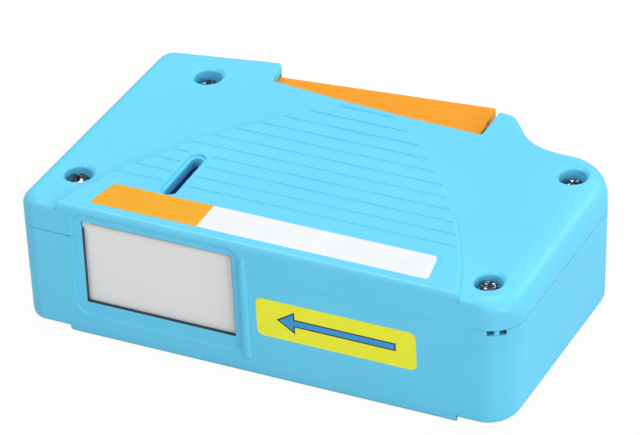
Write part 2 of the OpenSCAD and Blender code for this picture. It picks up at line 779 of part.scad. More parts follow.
module bottom_shell() {
    eyelet_c = [right_x - front_right_r, front_y + front_right_r];
    color(shell_blue)
    difference() {
        union() {
            difference() {
                union() {
                    base_form(foot_rise);
                    panel_block(bottom_edge_r, 0, foot_rise + bottom_edge_r + over, -1);
                }
                translate([0, 0, floor_z])
                    linear_extrude(parting_z - floor_z + over)
                        polygon(rounded(cavity, cavity_r, cavity_in));
            }
            difference() {
                floor_posts();
                spool_room_above(spool_z - seat_gap);
            }
            translate([supply.x, supply.y, floor_z - over])
                cylinder(r = post_r, h = post_top_z - floor_z + over);
            translate([left_x + front_left_r, front_y + wall - over, floor_z - over])
                cube([body_w - front_left_r - front_right_r, over + ledge_t,
                    gear_z - tape_side_gap - floor_z + over]);
            translate([eyelet_c.x, eyelet_c.y, 0])
                rotate(eyelet_turn)
                    translate([-eyelet_w / 2 - eyelet_wall, -front_right_r + eyelet_h,
                        parting_z - eyelet_h - eyelet_d])
                        cube([eyelet_w + 2 * eyelet_wall, eyelet_d, eyelet_d + eyelet_h]);
        }
        window_cuts();
        shutter_track();
        shadow_line();
        arrow_label_form(over);
        for (p = screws)
            translate([p.x, p.y, well_z - screw_l - screw_end_gap])
                cylinder(r = screw_r + bore_gap, h = screw_l + over);
        for (p = [supply, take_up])
            translate([p.x, p.y, spindle_z - seat_gap])
                cylinder(r = spindle_r + bore_gap, h = body_h);
        for (p = [left_roller, right_roller])
            translate([p.x, p.y, spindle_z - seat_gap])
                cylinder(r = pin_r + bore_gap, h = body_h);
        translate([lever_pivot.x, lever_pivot.y, spindle_z - seat_gap])
            cylinder(r = lever_pin_r + bore_gap, h = body_h);
        translate([0, 0, gear_z - tape_side_gap])
            linear_extrude(gear_t + tape_side_gap + run_gap)
                polygon([[rack_left_x - rack_over, channel_y], [channel_x - rack_end_l, channel_y],
                    [channel_x, channel_y + rack_end_w],
                    [channel_x, rack_pitch_y + tooth_out + 2 * run_gap],
                    [rack_left_x - rack_over, rack_pitch_y + tooth_out + 2 * run_gap]]);
        difference() {
            translate([eyelet_c.x, eyelet_c.y, 0])
                rotate(eyelet_turn)
                    translate([-eyelet_w / 2, -front_right_r - over, parting_z - eyelet_h])
                        cube([eyelet_w, eyelet_d + over, eyelet_h + over]);
            translate([eyelet_c.x, eyelet_c.y, 0])
                rotate(eyelet_turn)
                    translate([0, -front_right_r + eyelet_post_r + seat_gap * 4,
                        parting_z - eyelet_h - over])
                        cylinder(r = eyelet_post_r, h = eyelet_h + over);
        }
    }
}

module spool_room_above(z) {
    for (p = [supply, take_up])
        translate([p.x, p.y, z])
            cylinder(r = spool_r + run_gap, h = body_h);
}

// Posts and ribs that stand on the floor
module floor_posts() {
    for (p = screws)
        translate([p.x, p.y, floor_z - over])
            cylinder(r = boss_r, h = parting_z - floor_z + over);
    for (p = [left_roller, right_roller])
        translate([p.x, p.y, floor_z - over])
            cylinder(r = pin_boss_r, h = roller_z - seat_gap * 2 - floor_z + over);
    for (x = [rail_x, rail_x + rail_w - rail_post_w - rail_post_in])
        translate([x, x < 0 ? rail_y + seat_gap : rack_pitch_y + tooth_out + 2 * run_gap, floor_z - over])
            cube([rail_post_w, x < 0 ? rail_d - 2 * seat_gap : rail_y + rail_d - rack_pitch_y
                - tooth_out - 2 * run_gap, rail_z - floor_z + over]);
    for (x = [slot_cx - slot_pitch * 0.75, slot_cx + slot_pitch * 0.6])
        translate([x - rail_post_w / 2, holder_y + holder_t + seat_gap, floor_z - over])
            cube([rail_post_w, holder_t, slot_cz - floor_z]);
    for (k = [0, 1])
        translate(concat(k == 0 ? take_up : supply, floor_z - over))
            rotate(k == 0 ? 0 : supply_leaf_turn)
                rotate(leaf_root_turn)
                    translate([leaf_root_r - leaf_post_w / 2, -leaf_post_w, 0])
                        cube([leaf_post_w, leaf_post_w, spool_z + seat_gap - floor_z + over]);
}

module case_screws() {
    color([0.42, 0.45, 0.50])
    for (p = screws)
        translate([p.x, p.y, well_z])
            difference() {
                union() {
                    cylinder(r = screw_head_r, h = head_h * 0.7);
                    translate([0, 0, head_h * 0.7])
                        cylinder(r1 = screw_head_r, r2 = screw_head_r * 0.7, h = head_h * 0.3);
                    translate([0, 0, -screw_l])
                        cylinder(r = screw_r, h = screw_l);
                }
                for (a = [0, 90])
                    rotate(a + recess_turn)
                        translate([-screw_head_r * 0.6, -screw_head_r * 0.13, head_h / 2])
                            cube([screw_head_r * 1.2, screw_head_r * 0.26, head_h]);
            }
}

module level_window() {
    color([0.16, 0.20, 0.36, 0.6])
        translate([supply.x - level_w, front_y + level_front - lens_over, ceiling_z - lens_t])
            cube([2 * level_w, level_l + 2 * lens_over, lens_t]);
}

// Rack with its pitch line on y = 0 and teeth towards +Y, a tooth centred on x = 0
function rack_points(x0, x1, back) =
    let (pitch = PI * tooth_size, half = pitch / 4 - backlash / 2, lean = tan(pressure_angle),
        first = ceil((x0 + half + tooth_in * lean) / pitch),
        last = floor((x1 - half - tooth_in * lean) / pitch))
    concat([[x0, -back], [x1 - rack_end_l, -back], [x1, rack_end_w - back], [x1, -tooth_in]],
        [for (i = [last:-1:first]) each [
            [i * pitch + half + tooth_in * lean, -tooth_in],
            [i * pitch + half - tooth_out * lean, tooth_out],
            [i * pitch - half + tooth_out * lean, tooth_out],
            [i * pitch - half - tooth_in * lean, -tooth_in]]],
        [[x0, -tooth_in]]);

module shutter() {
    color([0.83, 0.83, 0.84])
    union() {
        translate([shutter_x, shutter_y - track_d, shutter_z])
            cube([shutter_w, shutter_t + track_d, shutter_top_z - shutter_z]);
        translate([rack_left_x, shutter_y, gear_z])
            cube([shutter_x + shutter_w - rack_left_x, shutter_t, shutter_z - gear_z + over]);
        translate([take_up.x, rack_pitch_y, gear_z])
            linear_extrude(gear_t)
                polygon(rack_points(rack_left_x - take_up.x, rack_right_x - take_up.x,
                    rack_pitch_y - shutter_y));
    }
}

module shutter_rail() {
    color([0.70, 0.72, 0.75])
        translate([rail_x, rail_y, rail_z])
            cube([rail_w, rail_d, rail_t]);
}

module slot_mask() {
    color([0.20, 0.22, 0.26])
    difference() {
        union() {
            translate([shutter_x - shutter_lap, mask_y, mask_z])
                cube([shutter_w + 2 * shutter_lap, mask_plate_t, mask_top_z - mask_z]);
            for (s = [-1, 1])
                translate([slot_cx + s * slot_pitch / 2 - slot_w / 2 - collar_t, mask_y,
                    slot_cz - slot_h / 2 - collar_t])
                    cube([slot_w + 2 * collar_t, mask_d, slot_h + 2 * collar_t]);
        }
        for (s = [-1, 1])
            translate([slot_cx + s * slot_pitch / 2 - slot_w / 2, mask_y - over, slot_cz - slot_h / 2])
                cube([slot_w, mask_d + 2 * over, slot_h]);
    }
}

module cleaning_pad() {
    color([0.15, 0.15, 0.16])
        translate([slot_cx - pad_w / 2, pad_y, tape_z + seat_gap])
            cube([pad_w, pad_t, tape_h - 2 * seat_gap]);
}

module pad_holder() {
    color([0.88, 0.88, 0.86])
    union() {
        translate([slot_cx - pad_w / 2 - small_r / 2, holder_y, floor_z + seat_gap])
            cube([pad_w + small_r, holder_t, roller_top_z - floor_z]);
        for (z = [tape_z - collar_t, tape_z + tape_h])
            translate([slot_cx - pad_w / 2, holder_y - pad_t * 0.6, z])
                cube([pad_w, pad_t * 0.6 + over, collar_t]);
    }
}

// Direction from a circle's centre to the tape, for the run from circle a to circle b
function tape_normal(a, ra, b, rb) =
    atan2(b.y - a.y, b.x - a.x) - acos((ra - rb) / norm(b - a));
function polar(c, r, a) = c + r * [cos(a), sin(a)];
function tape_line(extra) =
    let (rs = supply_roll_r + roll_gap + extra, rr = roller_r + roll_gap + extra,
        rt = take_up_roll_r + roll_gap + extra,
        n1 = tape_normal(supply, rs, left_roller, rr) - 360,
        n3 = tape_normal(right_roller, rr, take_up, rt),
        n1w = n1 < -270 ? n1 + 360 : n1)
    concat([polar(supply, rs, n1w)],
        [for (k = [0:2 * arc_steps]) polar(left_roller, rr, n1w + (-90 - n1w) * k / (2 * arc_steps))],
        [for (k = [0:arc_steps]) polar(right_roller, rr, -90 + (n3 + 90) * k / arc_steps)],
        [polar(take_up, rt, n3)]);
module cleaning_tape() {
    inner = tape_line(0);
    outer = tape_line(tape_t);
    color([0.96, 0.96, 0.98])
        translate([0, 0, tape_z])
            linear_extrude(tape_h)
                polygon(concat(inner, [for (i = [len(outer) - 1:-1:0]) outer[i]]));
}

// Saw teeth between two radii, rising at once and then falling counter-clockwise, or the reverse
function saw(teeth, root, tip) =
    [for (i = [0:teeth - 1])
        each [polar([0, 0], root, i * 360 / teeth), polar([0, 0], tip, i * 360 / teeth)]];

module spool() {
    difference() {
        union() {
            translate([0, 0, spool_z])
                linear_extrude(spool_flange_t)
                    polygon(saw(rim_teeth, spool_r - rim_tooth_h, spool_r));
            translate([0, 0, spool_z])
                cylinder(r = core_r, h = spool_top_z - spool_z);
            translate([0, 0, spool_top_z - spool_flange_t])
                cylinder(r = spool_r, h = spool_flange_t);
        }
        translate([0, 0, spool_z - over])
            linear_extrude(ratchet_h + over)
                polygon(saw(ratchet_teeth, core_r - core_wall, core_r - core_wall - ratchet_tooth_h));
        difference() {
            translate([0, 0, spool_z + ratchet_h - over / 2])
                cylinder(r = core_r - core_wall + seat_gap,
                    h = collar_z + collar_h - spool_web_t - spool_z - ratchet_h + over / 2);
            translate([0, 0, collar_z])
                cylinder(r = post_r, h = collar_h);
        }
        translate([0, 0, collar_z + collar_h])
            cylinder(r = core_r - core_wall, h = body_h);
        cylinder(r = spindle_r + bore_gap, h = body_h);
        for (a = [0:72:288])
            rotate(a)
                translate([(core_r + spool_r) / 2, 0, 0])
                    cylinder(r = (spool_r - core_r) / 4, h = body_h);
    }
}
module supply_spool() {
    color([0.90, 0.91, 0.93])
        translate(supply)
            spool();
}
module take_up_spool() {
    color([0.90, 0.91, 0.93])
        translate(take_up)
            spool();
}
module tape_roll(r) {
    difference() {
        translate([0, 0, tape_z])
            cylinder(r = r, h = tape_h);
        translate([0, 0, tape_z - over])
            cylinder(r = core_r, h = tape_h + 2 * over);
    }
}
module supply_tape_roll() {
    color([0.20, 0.24, 0.45])
        translate(supply)
            tape_roll(supply_roll_r);
}
module take_up_tape_roll() {
    color([0.94, 0.94, 0.97])
        translate(take_up)
            tape_roll(take_up_roll_r);
}

module reel_spindles() {
    color([0.70, 0.72, 0.75])
    for (p = [supply, take_up])
        translate([p.x, p.y, spindle_z])
            cylinder(r = spindle_r, h = spindle_top_z - spindle_z);
}
module spool_washers() {
    color([0.85, 0.80, 0.60])
    for (p = [supply, take_up])
        translate([p.x, p.y, post_top_z + seat_gap / 2])
            difference() {
                cylinder(r = post_r, h = washer_t);
                translate([0, 0, -over])
                    cylinder(r = spindle_r + seat_gap, h = washer_t + 2 * over);
            }
}

module guide_roller(p) {
    color([0.92, 0.92, 0.90])
        translate([p.x, p.y, 0])
            difference() {
                translate([0, 0, roller_z])
                    cylinder(r = roller_r, h = roller_top_z - roller_z);
                cylinder(r = pin_r + bore_gap, h = body_h);
            }
}
module left_guide_roller() {
    guide_roller(left_roller);
}
module right_guide_roller() {
    guide_roller(right_roller);
}
module guide_pins() {
    color([0.70, 0.72, 0.75])
    for (p = [left_roller, right_roller])
        translate([p.x, p.y, spindle_z])
            cylinder(r = pin_r, h = spindle_top_z - spindle_z);
}

// Involute gear outline, with tooth 0 centred on the angle turn
function involute_lag(r, base) = r <= base ? 0 : sqrt(r * r / base / base - 1) * 180 / PI - acos(base / r);
function tooth_points(teeth, turn) =
    let (pitch_r = tooth_size * teeth / 2, base = pitch_r * cos(pressure_angle),
        root = pitch_r - tooth_in, tip = pitch_r + tooth_out, low = max(root, base),
        half = (PI * tooth_size / 2 - backlash) / 2 / pitch_r * 180 / PI + involute_lag(pitch_r, base),
        rs = concat(root < low ? [root] : [],
            [for (k = [0:flank_steps]) low + (tip - low) * k / flank_steps]))
    concat([for (r = rs) polar([0, 0], r, turn - half + involute_lag(r, base))],
        [for (i = [len(rs) - 1:-1:0]) polar([0, 0], rs[i], turn + half - involute_lag(rs[i], base))]);
function gear_points(teeth, turn) =
    [for (i = [0:teeth - 1]) each tooth_points(teeth, turn + i * 360 / teeth)];

module drive_wheel() {
    color([0.93, 0.93, 0.90])
    translate(take_up)
        difference() {
            union() {
                translate([0, 0, gear_z])
                    linear_extrude(gear_t)
                        polygon(gear_points(rack_gear_teeth, -90 + 180 / rack_gear_teeth));
                translate([0, 0, pinion_z - over])
                    linear_extrude(sector_t + run_gap + over)
                        polygon(gear_points(pinion_teeth, sector_turn + 180));
                translate([0, 0, floor_z + tape_side_gap])
                    cylinder(r = post_r, h = gear_z - floor_z);
                translate([0, 0, sector_z])
                    cylinder(r = hub_r, h = clutch_z - seat_gap - sector_z);
                translate([0, 0, sector_z])
                    cylinder(r = clutch_seat_r, h = post_top_z - sector_z);
            }
            cylinder(r = spindle_r + bore_gap, h = body_h);
            for (a = [0:60:300])
                rotate(a)
                    translate([(pinion_r + rack_gear_r) / 2, 0, 0])
                        cylinder(r = pinion_r * 0.8, h = body_h);
        }
}

function arm_r(k) = clutch_ring_r - arm_t / 2 + (clutch_tip_r - clutch_ring_r) * pow(k / arm_steps, 3);
module clutch_arm() {
    polygon(concat(
        [for (k = [0:arm_steps]) polar([0, 0], arm_r(k) + arm_t / 2, arm_sweep * (k / arm_steps - 1))],
        [for (k = [arm_steps:-1:0]) polar([0, 0], arm_r(k) - arm_t / 2, arm_sweep * (k / arm_steps - 1))]));
}
module one_way_clutch() {
    color([0.25, 0.45, 0.75])
    translate([take_up.x, take_up.y, clutch_z])
        linear_extrude(clutch_t)
            difference() {
                union() {
                    circle(r = clutch_ring_r);
                    for (a = [0, 180])
                        rotate(a + clutch_turn)
                            clutch_arm();
                }
                circle(r = clutch_seat_r + bore_gap);
            }
}

module leaf_spring() {
    root = polar([0, 0], leaf_root_r, leaf_root_turn);
    tip = polar([0, 0], spool_r + leaf_t / 2 + seat_gap, leaf_tip_turn);
    u = unit(tip - root);
    side = [-u.y, u.x] * leaf_t / 2;
    translate([0, 0, spool_z + seat_gap])
        linear_extrude(leaf_h)
            polygon([root - u * leaf_post_w - side, tip - side - u * leaf_t,
                tip - side, tip + side, polar([0, 0], spool_r - rim_tooth_h * 0.7, leaf_tip_turn),
                tip + side - u * 3 * leaf_t, root - u * leaf_post_w + side]);
}
module anti_reverse_pawl() {
    color([0.62, 0.64, 0.66])
        translate(take_up)
            leaf_spring();
}
module supply_drag_spring() {
    color([0.62, 0.64, 0.66])
        translate(supply)
            rotate(supply_leaf_turn - supply_leaf_turn % (360 / rim_teeth))
                leaf_spring();
}

function end_arc(r, a0, a1) =
    [for (k = [0:arc_steps]) polar(lever_pivot, r, a0 + (a1 - a0) * k / arc_steps)];
module lever_flange(z) {
    translate([0, 0, z])
        linear_extrude(lever_flange_t)
            polygon(concat([lever_pivot - [0, hub_lever_r]], end_arc(lever_end_r, lever_flange_turn,
                lever_tip_turn), [face_left, lever_pivot + [-small_r, hub_lever_r]]));
    translate([lever_pivot.x, lever_pivot.y, z])
        cylinder(r = hub_lever_r, h = lever_flange_t);
}
module lever() {
    face = unit(face_right - face_left);
    inward = [face.y, -face.x] * lever_wall;
    arm_in = sector_r - sector_rim_w;
    color(lever_orange)
    difference() {
        union() {
            lever_flange(lever_low_z);
            lever_flange(lever_top_z - lever_flange_t);
            translate([0, 0, lever_low_z])
                linear_extrude(lever_top_z - lever_low_z) {
                    polygon([face_left, face_left + inward, face_right + inward - face * lever_wall / 2,
                        face_right]);
                    polygon(concat(end_arc(lever_end_r, lever_end_turn, lever_tip_turn),
                        end_arc(lever_end_r - lever_wall * 0.8, lever_tip_turn, lever_end_turn)));
                }
            translate([lever_pivot.x, lever_pivot.y, lever_low_z]) {
                cylinder(r = hub_lever_r, h = sector_z + sector_t - lever_low_z);
                cylinder(r = lever_neck_r, h = lever_top_z - lever_low_z);
            }
            translate([lever_pivot.x, lever_pivot.y, sector_z])
                linear_extrude(sector_t)
                    polygon(concat([[0, -hub_lever_r / 2]],
                        [polar([0, 0], arm_in, sector_turn + sector_low)],
                        [for (i = [sector_first:sector_last])
                            each tooth_points(sector_ring_teeth,
                                sector_turn + (i + 0.5) * 360 / sector_ring_teeth)],
                        [polar([0, 0], arm_in, sector_turn + sector_high)], [[hub_lever_r / 2, 0]]));
        }
        translate([lever_pivot.x, lever_pivot.y, 0])
            cylinder(r = lever_pin_r + bore_gap, h = body_h);
    }
}

module lever_pin() {
    color([0.70, 0.72, 0.75])
        translate([lever_pivot.x, lever_pivot.y, spindle_z])
            cylinder(r = lever_pin_r, h = lever_pin_top_z - spindle_z);
}

function coil_point(a) = concat(polar(lever_pivot, coil_r, a),
    coil_z + coil_rise_h * (a - coil_from) / 360);
function wire_ring(c, a) = [for (k = [0:wire_sides - 1])
    let (b = k * 360 / wire_sides)
    c + wire_r * [cos(b) * cos(a), cos(b) * sin(a), -sin(b)]];
function leg_end(a, way) = coil_point(a) + way * leg_l * [-sin(a), cos(a), 0];
module lever_return_spring() {
    turns = (coil_to - coil_from) / ring_step;
    rings = concat([wire_ring(leg_end(coil_from, -1), coil_from)],
        [for (k = [0:floor(turns)])
            wire_ring(coil_point(coil_from + k * ring_step), coil_from + k * ring_step)],
        [wire_ring(coil_point(coil_to), coil_to), wire_ring(leg_end(coil_to, 1), coil_to)]);
    color([0.62, 0.64, 0.66])
        loft(rings);
}

top_shell();
bottom_shell();
case_screws();
level_window();
top_label();
arrow_label();
shutter();
shutter_rail();
slot_mask();
cleaning_pad();
pad_holder();
cleaning_tape();
supply_spool();
supply_tape_roll();
take_up_spool();
take_up_tape_roll();
reel_spindles();
spool_washers();
left_guide_roller();
right_guide_roller();
guide_pins();
drive_wheel();
one_way_clutch();
anti_reverse_pawl();
supply_drag_spring();
lever();
lever_pin();
lever_return_spring();
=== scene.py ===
# Looks, light and camera for the fibre connector cleaning cassette.
# Lengths in the dictionaries are millimetres; X points right, Y back and Z up.
import json
import math

import bmesh
import bpy
from bmesh.types import BMEdge, BMFace, BMVert
from mathutils import Matrix, Vector

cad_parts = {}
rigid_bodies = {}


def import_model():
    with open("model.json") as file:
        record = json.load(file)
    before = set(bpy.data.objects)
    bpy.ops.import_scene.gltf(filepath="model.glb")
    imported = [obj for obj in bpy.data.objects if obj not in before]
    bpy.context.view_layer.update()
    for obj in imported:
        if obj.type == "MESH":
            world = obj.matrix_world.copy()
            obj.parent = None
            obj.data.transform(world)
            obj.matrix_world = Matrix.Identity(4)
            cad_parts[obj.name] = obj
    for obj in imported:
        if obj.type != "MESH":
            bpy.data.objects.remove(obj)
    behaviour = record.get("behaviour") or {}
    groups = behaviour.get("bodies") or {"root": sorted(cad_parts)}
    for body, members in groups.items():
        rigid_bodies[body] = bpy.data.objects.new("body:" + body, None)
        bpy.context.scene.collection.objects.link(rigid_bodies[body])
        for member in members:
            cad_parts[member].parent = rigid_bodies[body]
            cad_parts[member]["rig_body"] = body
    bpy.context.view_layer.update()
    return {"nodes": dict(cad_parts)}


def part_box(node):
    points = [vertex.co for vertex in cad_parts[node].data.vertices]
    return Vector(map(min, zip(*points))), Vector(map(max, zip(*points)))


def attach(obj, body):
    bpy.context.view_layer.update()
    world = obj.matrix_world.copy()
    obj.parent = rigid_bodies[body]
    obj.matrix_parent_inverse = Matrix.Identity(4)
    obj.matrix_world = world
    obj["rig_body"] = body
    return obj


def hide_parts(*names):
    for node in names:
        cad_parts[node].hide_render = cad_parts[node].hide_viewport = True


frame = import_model()
cadNodes = frame["nodes"]
mm = 0.001
print("frame loaded,", len(cadNodes), "nodes")


def point(x, y, z):
    return Vector((x, y, z)) * mm


def pick(kind, geometry):
    return [item for item in geometry if isinstance(item, kind)]


# Mesh object from a bmesh, shaded smooth up to smoothAngle
def linkMesh(name, bm, smoothAngle=32):
    mesh = bpy.data.meshes.new(name)
    bm.to_mesh(mesh)
    bm.free()
    mesh.polygons.foreach_set("use_smooth", [True] * len(mesh.polygons))
    mesh.set_sharp_from_angle(angle=math.radians(smoothAngle))
    piece = bpy.data.objects.new(name, mesh)
    bpy.context.scene.collection.objects.link(piece)
    return piece


# Piece takes the place and the body of one CAD node
def standFor(piece, node, slotName, *materials):
    for material in materials:
        piece.data.materials.append(material)
    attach(piece, cadNodes[node]["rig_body"])
    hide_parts(node)
    return piece


# Small piece of the case that has no CAD node of its own
def addToCase(piece, slotName, *materials):
    for material in materials:
        piece.data.materials.append(material)
    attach(piece, "case")
    return piece


# Wall for an open sheet, half of it on each side
def giveWall(piece, name, thick):
    wall = piece.modifiers.new(name, "SOLIDIFY")
    wall.thickness = thick * mm
    wall.offset = 0


edgeRules = {
    "mergeWithin": 0.002,
    "flatWithin": 0.4, "sharpFrom": 30,         # degrees between two faces
    "sameWay": 0.9, "shareOfSide": 0.42,        # a cosine, and a share of the shortest side
    "shadingWeight": 60,
}


# How much of the full width each sharp edge can take beside its shortest neighbour
def weighEdges(bm, width):
    weight = bm.edges.layers.float.new("bevel_weight_edge")
    sharp = math.radians(edgeRules["sharpFrom"])
    for edge in bm.edges:
        if len(edge.link_faces) != 2 or edge.calc_face_angle() < sharp:
            continue
        along = (edge.verts[1].co - edge.verts[0].co).normalized()
        room = width * mm
        for vert in edge.verts:
            for other in vert.link_edges:
                side = other.other_vert(vert).co - vert.co
                if other is not edge and abs(side.normalized().dot(along)) < edgeRules["sameWay"]:
                    room = min(room, edgeRules["shareOfSide"] * side.length)
        edge[weight] = room / (width * mm)


# Broken edges: every sharp edge gets a small round
def breakEdges(piece, width, segments=2):
    bevel = piece.modifiers.new("brokenEdges", "BEVEL")
    bevel.width = width * mm
    bevel.segments = segments
    bevel.limit_method = "WEIGHT"
    bevel.use_clamp_overlap = False
    evenShading = piece.modifiers.new("evenShading", "WEIGHTED_NORMAL")
    evenShading.keep_sharp = False
    evenShading.weight = edgeRules["shadingWeight"]


# Merged copy of a CAD node, ready for its broken edges
def mergedCopy(node, name, width):
    bm = bmesh.new()
    bm.from_mesh(cadNodes[node].data)
    bmesh.ops.remove_doubles(bm, verts=bm.verts, dist=edgeRules["mergeWithin"] * mm)
    bmesh.ops.dissolve_limit(bm, angle_limit=math.radians(edgeRules["flatWithin"]),
                             use_dissolve_boundaries=False, verts=bm.verts, edges=bm.edges,
                             delimit={"NORMAL"})
    weighEdges(bm, width)
    return linkMesh(name, bm)


def startMaterial(name, colour, roughness):
    material = bpy.data.materials.new(name)
    material.use_nodes = True
    shader = material.node_tree.nodes["Principled BSDF"]
    shader.inputs["Base Color"].default_value = (*colour, 1)
    shader.inputs["Roughness"].default_value = roughness
    return material, material.node_tree, shader


def addNode(tree, kind, **values):
    node = tree.nodes.new(kind)
    for key, value in values.items():
        if key in node.inputs:
            node.inputs[key].default_value = value
        else:
            setattr(node, key, value)
    return node


# Object coordinates in millimetres, with an optional centre and stretch
def objectPlace(tree, centre=(0, 0, 0), stretch=(1, 1, 1)):
    where = tree.nodes.new("ShaderNodeTexCoord")
    mapping = tree.nodes.new("ShaderNodeMapping")
    mapping.inputs["Scale"].default_value = [s / mm for s in stretch]
    mapping.inputs["Location"].default_value = [-c * s for c, s in zip(centre, stretch)]
    tree.links.new(where.outputs["Object"], mapping.inputs["Vector"])
    return mapping.outputs["Vector"]


def noise(tree, place, perMm, detail=3.0, rough=0.5):
    node = addNode(tree, "ShaderNodeTexNoise", Scale=perMm, Detail=detail, Roughness=rough)
    tree.links.new(place, node.inputs["Vector"])
    return node.outputs["Fac"]


def spreadTo(tree, value, low, high, fromLow=0.3, fromHigh=0.7):
    node = tree.nodes.new("ShaderNodeMapRange")
    node.inputs["From Min"].default_value = fromLow
    node.inputs["From Max"].default_value = fromHigh
    node.inputs["To Min"].default_value = low
    node.inputs["To Max"].default_value = high
    tree.links.new(value, node.inputs["Value"])
    return node.outputs["Result"]


# Base colour that goes from first to second with the amount
def tint(tree, shader, amount, first, second):
    node = addNode(tree, "ShaderNodeMix", data_type="RGBA")
    node.inputs[6].default_value = (*first, 1)                # sockets 6 and 7 are the two colours
    node.inputs[7].default_value = (*second, 1)
    tree.links.new(amount, node.inputs[0])
    tree.links.new(node.outputs[2], shader.inputs["Base Color"])


def roughen(tree, shader, pattern, low, high):
    tree.links.new(spreadTo(tree, pattern, low, high), shader.inputs["Roughness"])


# Chained bumps: each (height, depth in mm, strength) rides on the one before
def bumps(tree, shader, *layers):
    last = None
    for height, depth, strength in layers:
        node = addNode(tree, "ShaderNodeBump", Distance=depth * mm, Strength=strength)
        tree.links.new(height, node.inputs["Height"])
        if last:
            tree.links.new(last.outputs["Normal"], node.inputs["Normal"])
        last = node
    tree.links.new(last.outputs["Normal"], shader.inputs["Normal"])


def shade(colour, by):
    return tuple(min(1.0, max(0.0, c * by)) for c in colour)


shineSockets = {
    "specular": "Specular IOR Level", "coat": "Coat Weight", "coatRoughness": "Coat Roughness",
    "sheen": "Sheen Weight", "sheenRoughness": "Sheen Roughness", "metal": "Metallic",
}


def setShine(shader, look):
    for key, socket in shineSockets.items():
        if key in look:
            shader.inputs[socket].default_value = look[key]


# Patterns per millimetre, depths in millimetres; an edge is where a noise goes from tone to tone
plasticPattern = {
    "driftPerMm": 0.035, "driftEdge": (0.35, 0.65), "rubbedPerMm": 0.6,
    "flowPerMm": 0.12, "flowDeep": 0.25, "flowStrength": 0.35, "grainStrength": 0.6,
}
plasticLooks = {
    "shell": {
        "colour": (0.165, 0.700, 0.985), "roughness": 0.27, "drift": 0.02, "rubbed": 0.04,
        "grainPerMm": 3.0, "grainDeep": 0.004, "specular": 0.0, "coat": 0.32,
        "coatRoughness": 0.22},
    "leverPlastic": {
        "colour": (0.930, 0.355, 0.012), "roughness": 0.38, "drift": 0.03, "rubbed": 0.06,
        "grainPerMm": 3.0, "grainDeep": 0.010, "specular": 0.2},
    "shutterPlastic": {
        "colour": (0.900, 0.900, 0.900), "roughness": 0.5, "drift": 0.01, "rubbed": 0.05,
        "grainPerMm": 5.0, "grainDeep": 0.006, "specular": 0.3},
    "maskPlastic": {
        "colour": (0.035, 0.038, 0.048), "roughness": 0.5, "drift": 0.08, "rubbed": 0.08,
        "grainPerMm": 3.5, "grainDeep": 0.012},
    # Dark colour of the painted shade sheets in the window and the strap slot
    "paintedShadePlastic": {
        "colour": (0.008, 0.040, 0.075), "roughness": 0.5, "drift": 0.08, "rubbed": 0.08,
        "grainPerMm": 3.5, "grainDeep": 0.012},
    "whitePlastic": {
        "colour": (0.78, 0.78, 0.76), "roughness": 0.45, "drift": 0.02, "rubbed": 0.06,
        "grainPerMm": 3.5, "grainDeep": 0.01},
    "spoolPlastic": {
        "colour": (0.74, 0.76, 0.80), "roughness": 0.38, "drift": 0.02, "rubbed": 0.06,
        "grainPerMm": 4.0, "grainDeep": 0.01},
    "washerPlastic": {
        "colour": (0.68, 0.60, 0.38), "roughness": 0.5, "drift": 0.03, "rubbed": 0.08,
        "grainPerMm": 4.0, "grainDeep": 0.01},
    "gearPlastic": {
        "colour": (0.80, 0.80, 0.74), "roughness": 0.36, "drift": 0.02, "rubbed": 0.08,
        "grainPerMm": 4.0, "grainDeep": 0.008},
    "clutchPlastic": {
        "colour": (0.05, 0.16, 0.50), "roughness": 0.42, "drift": 0.04, "rubbed": 0.08,
        "grainPerMm": 4.0, "grainDeep": 0.01},
}


# Moulded plastic: eroded grain, slow flow marks, a little colour drift and rubbed patches
def mouldedPlastic(name, look):
    colour, rough, size = look["colour"], look["roughness"], plasticPattern
    material, tree, shader = startMaterial(name, colour, rough)
    place = objectPlace(tree)
    drift = noise(tree, place, size["driftPerMm"], detail=2)
    tone = spreadTo(tree, drift, 0, 1, *size["driftEdge"])
    tint(tree, shader, tone, shade(colour, 1 - look["drift"]), shade(colour, 1 + look["drift"]))
    rubbed = noise(tree, place, size["rubbedPerMm"], detail=4, rough=0.6)
    roughen(tree, shader, rubbed, rough - look["rubbed"], rough + look["rubbed"])
    flow = noise(tree, place, size["flowPerMm"], detail=1)
    grain = noise(tree, place, look["grainPerMm"], detail=2)
    bumps(tree, shader, (flow, size["flowDeep"], size["flowStrength"]),
          (grain, look["grainDeep"], size["grainStrength"]))
    setShine(shader, look)
    return material


steelPattern = {
    "streaksPerMm": 1.5, "streakDeep": 0.012, "streakStrength": 0.5, "smoother": 0.1,
    "rougher": 0.14, "patchPerMm": 0.8, "patchEdge": (0.3, 0.7), "dull": 0.8, "bright": 1.1,
}
steelLooks = {
    # On these dark screws the near-white patches are painted glints
    "screwSteel": {
        "colour": (0.045, 0.052, 0.075), "bright": (0.85, 0.88, 0.92), "roughness": 0.26,
        "stretch": (1, 1, 1), "patchPerMm": 1.3, "patchEdge": (0.56, 0.63), "metal": 1},
    "brightSteel": {
        "colour": (0.66, 0.67, 0.70), "roughness": 0.24, "stretch": (1, 1, 0.1), "metal": 1},
    "springSteel": {
        "colour": (0.52, 0.53, 0.56), "roughness": 0.30, "stretch": (0.2, 1, 1), "metal": 1},
}
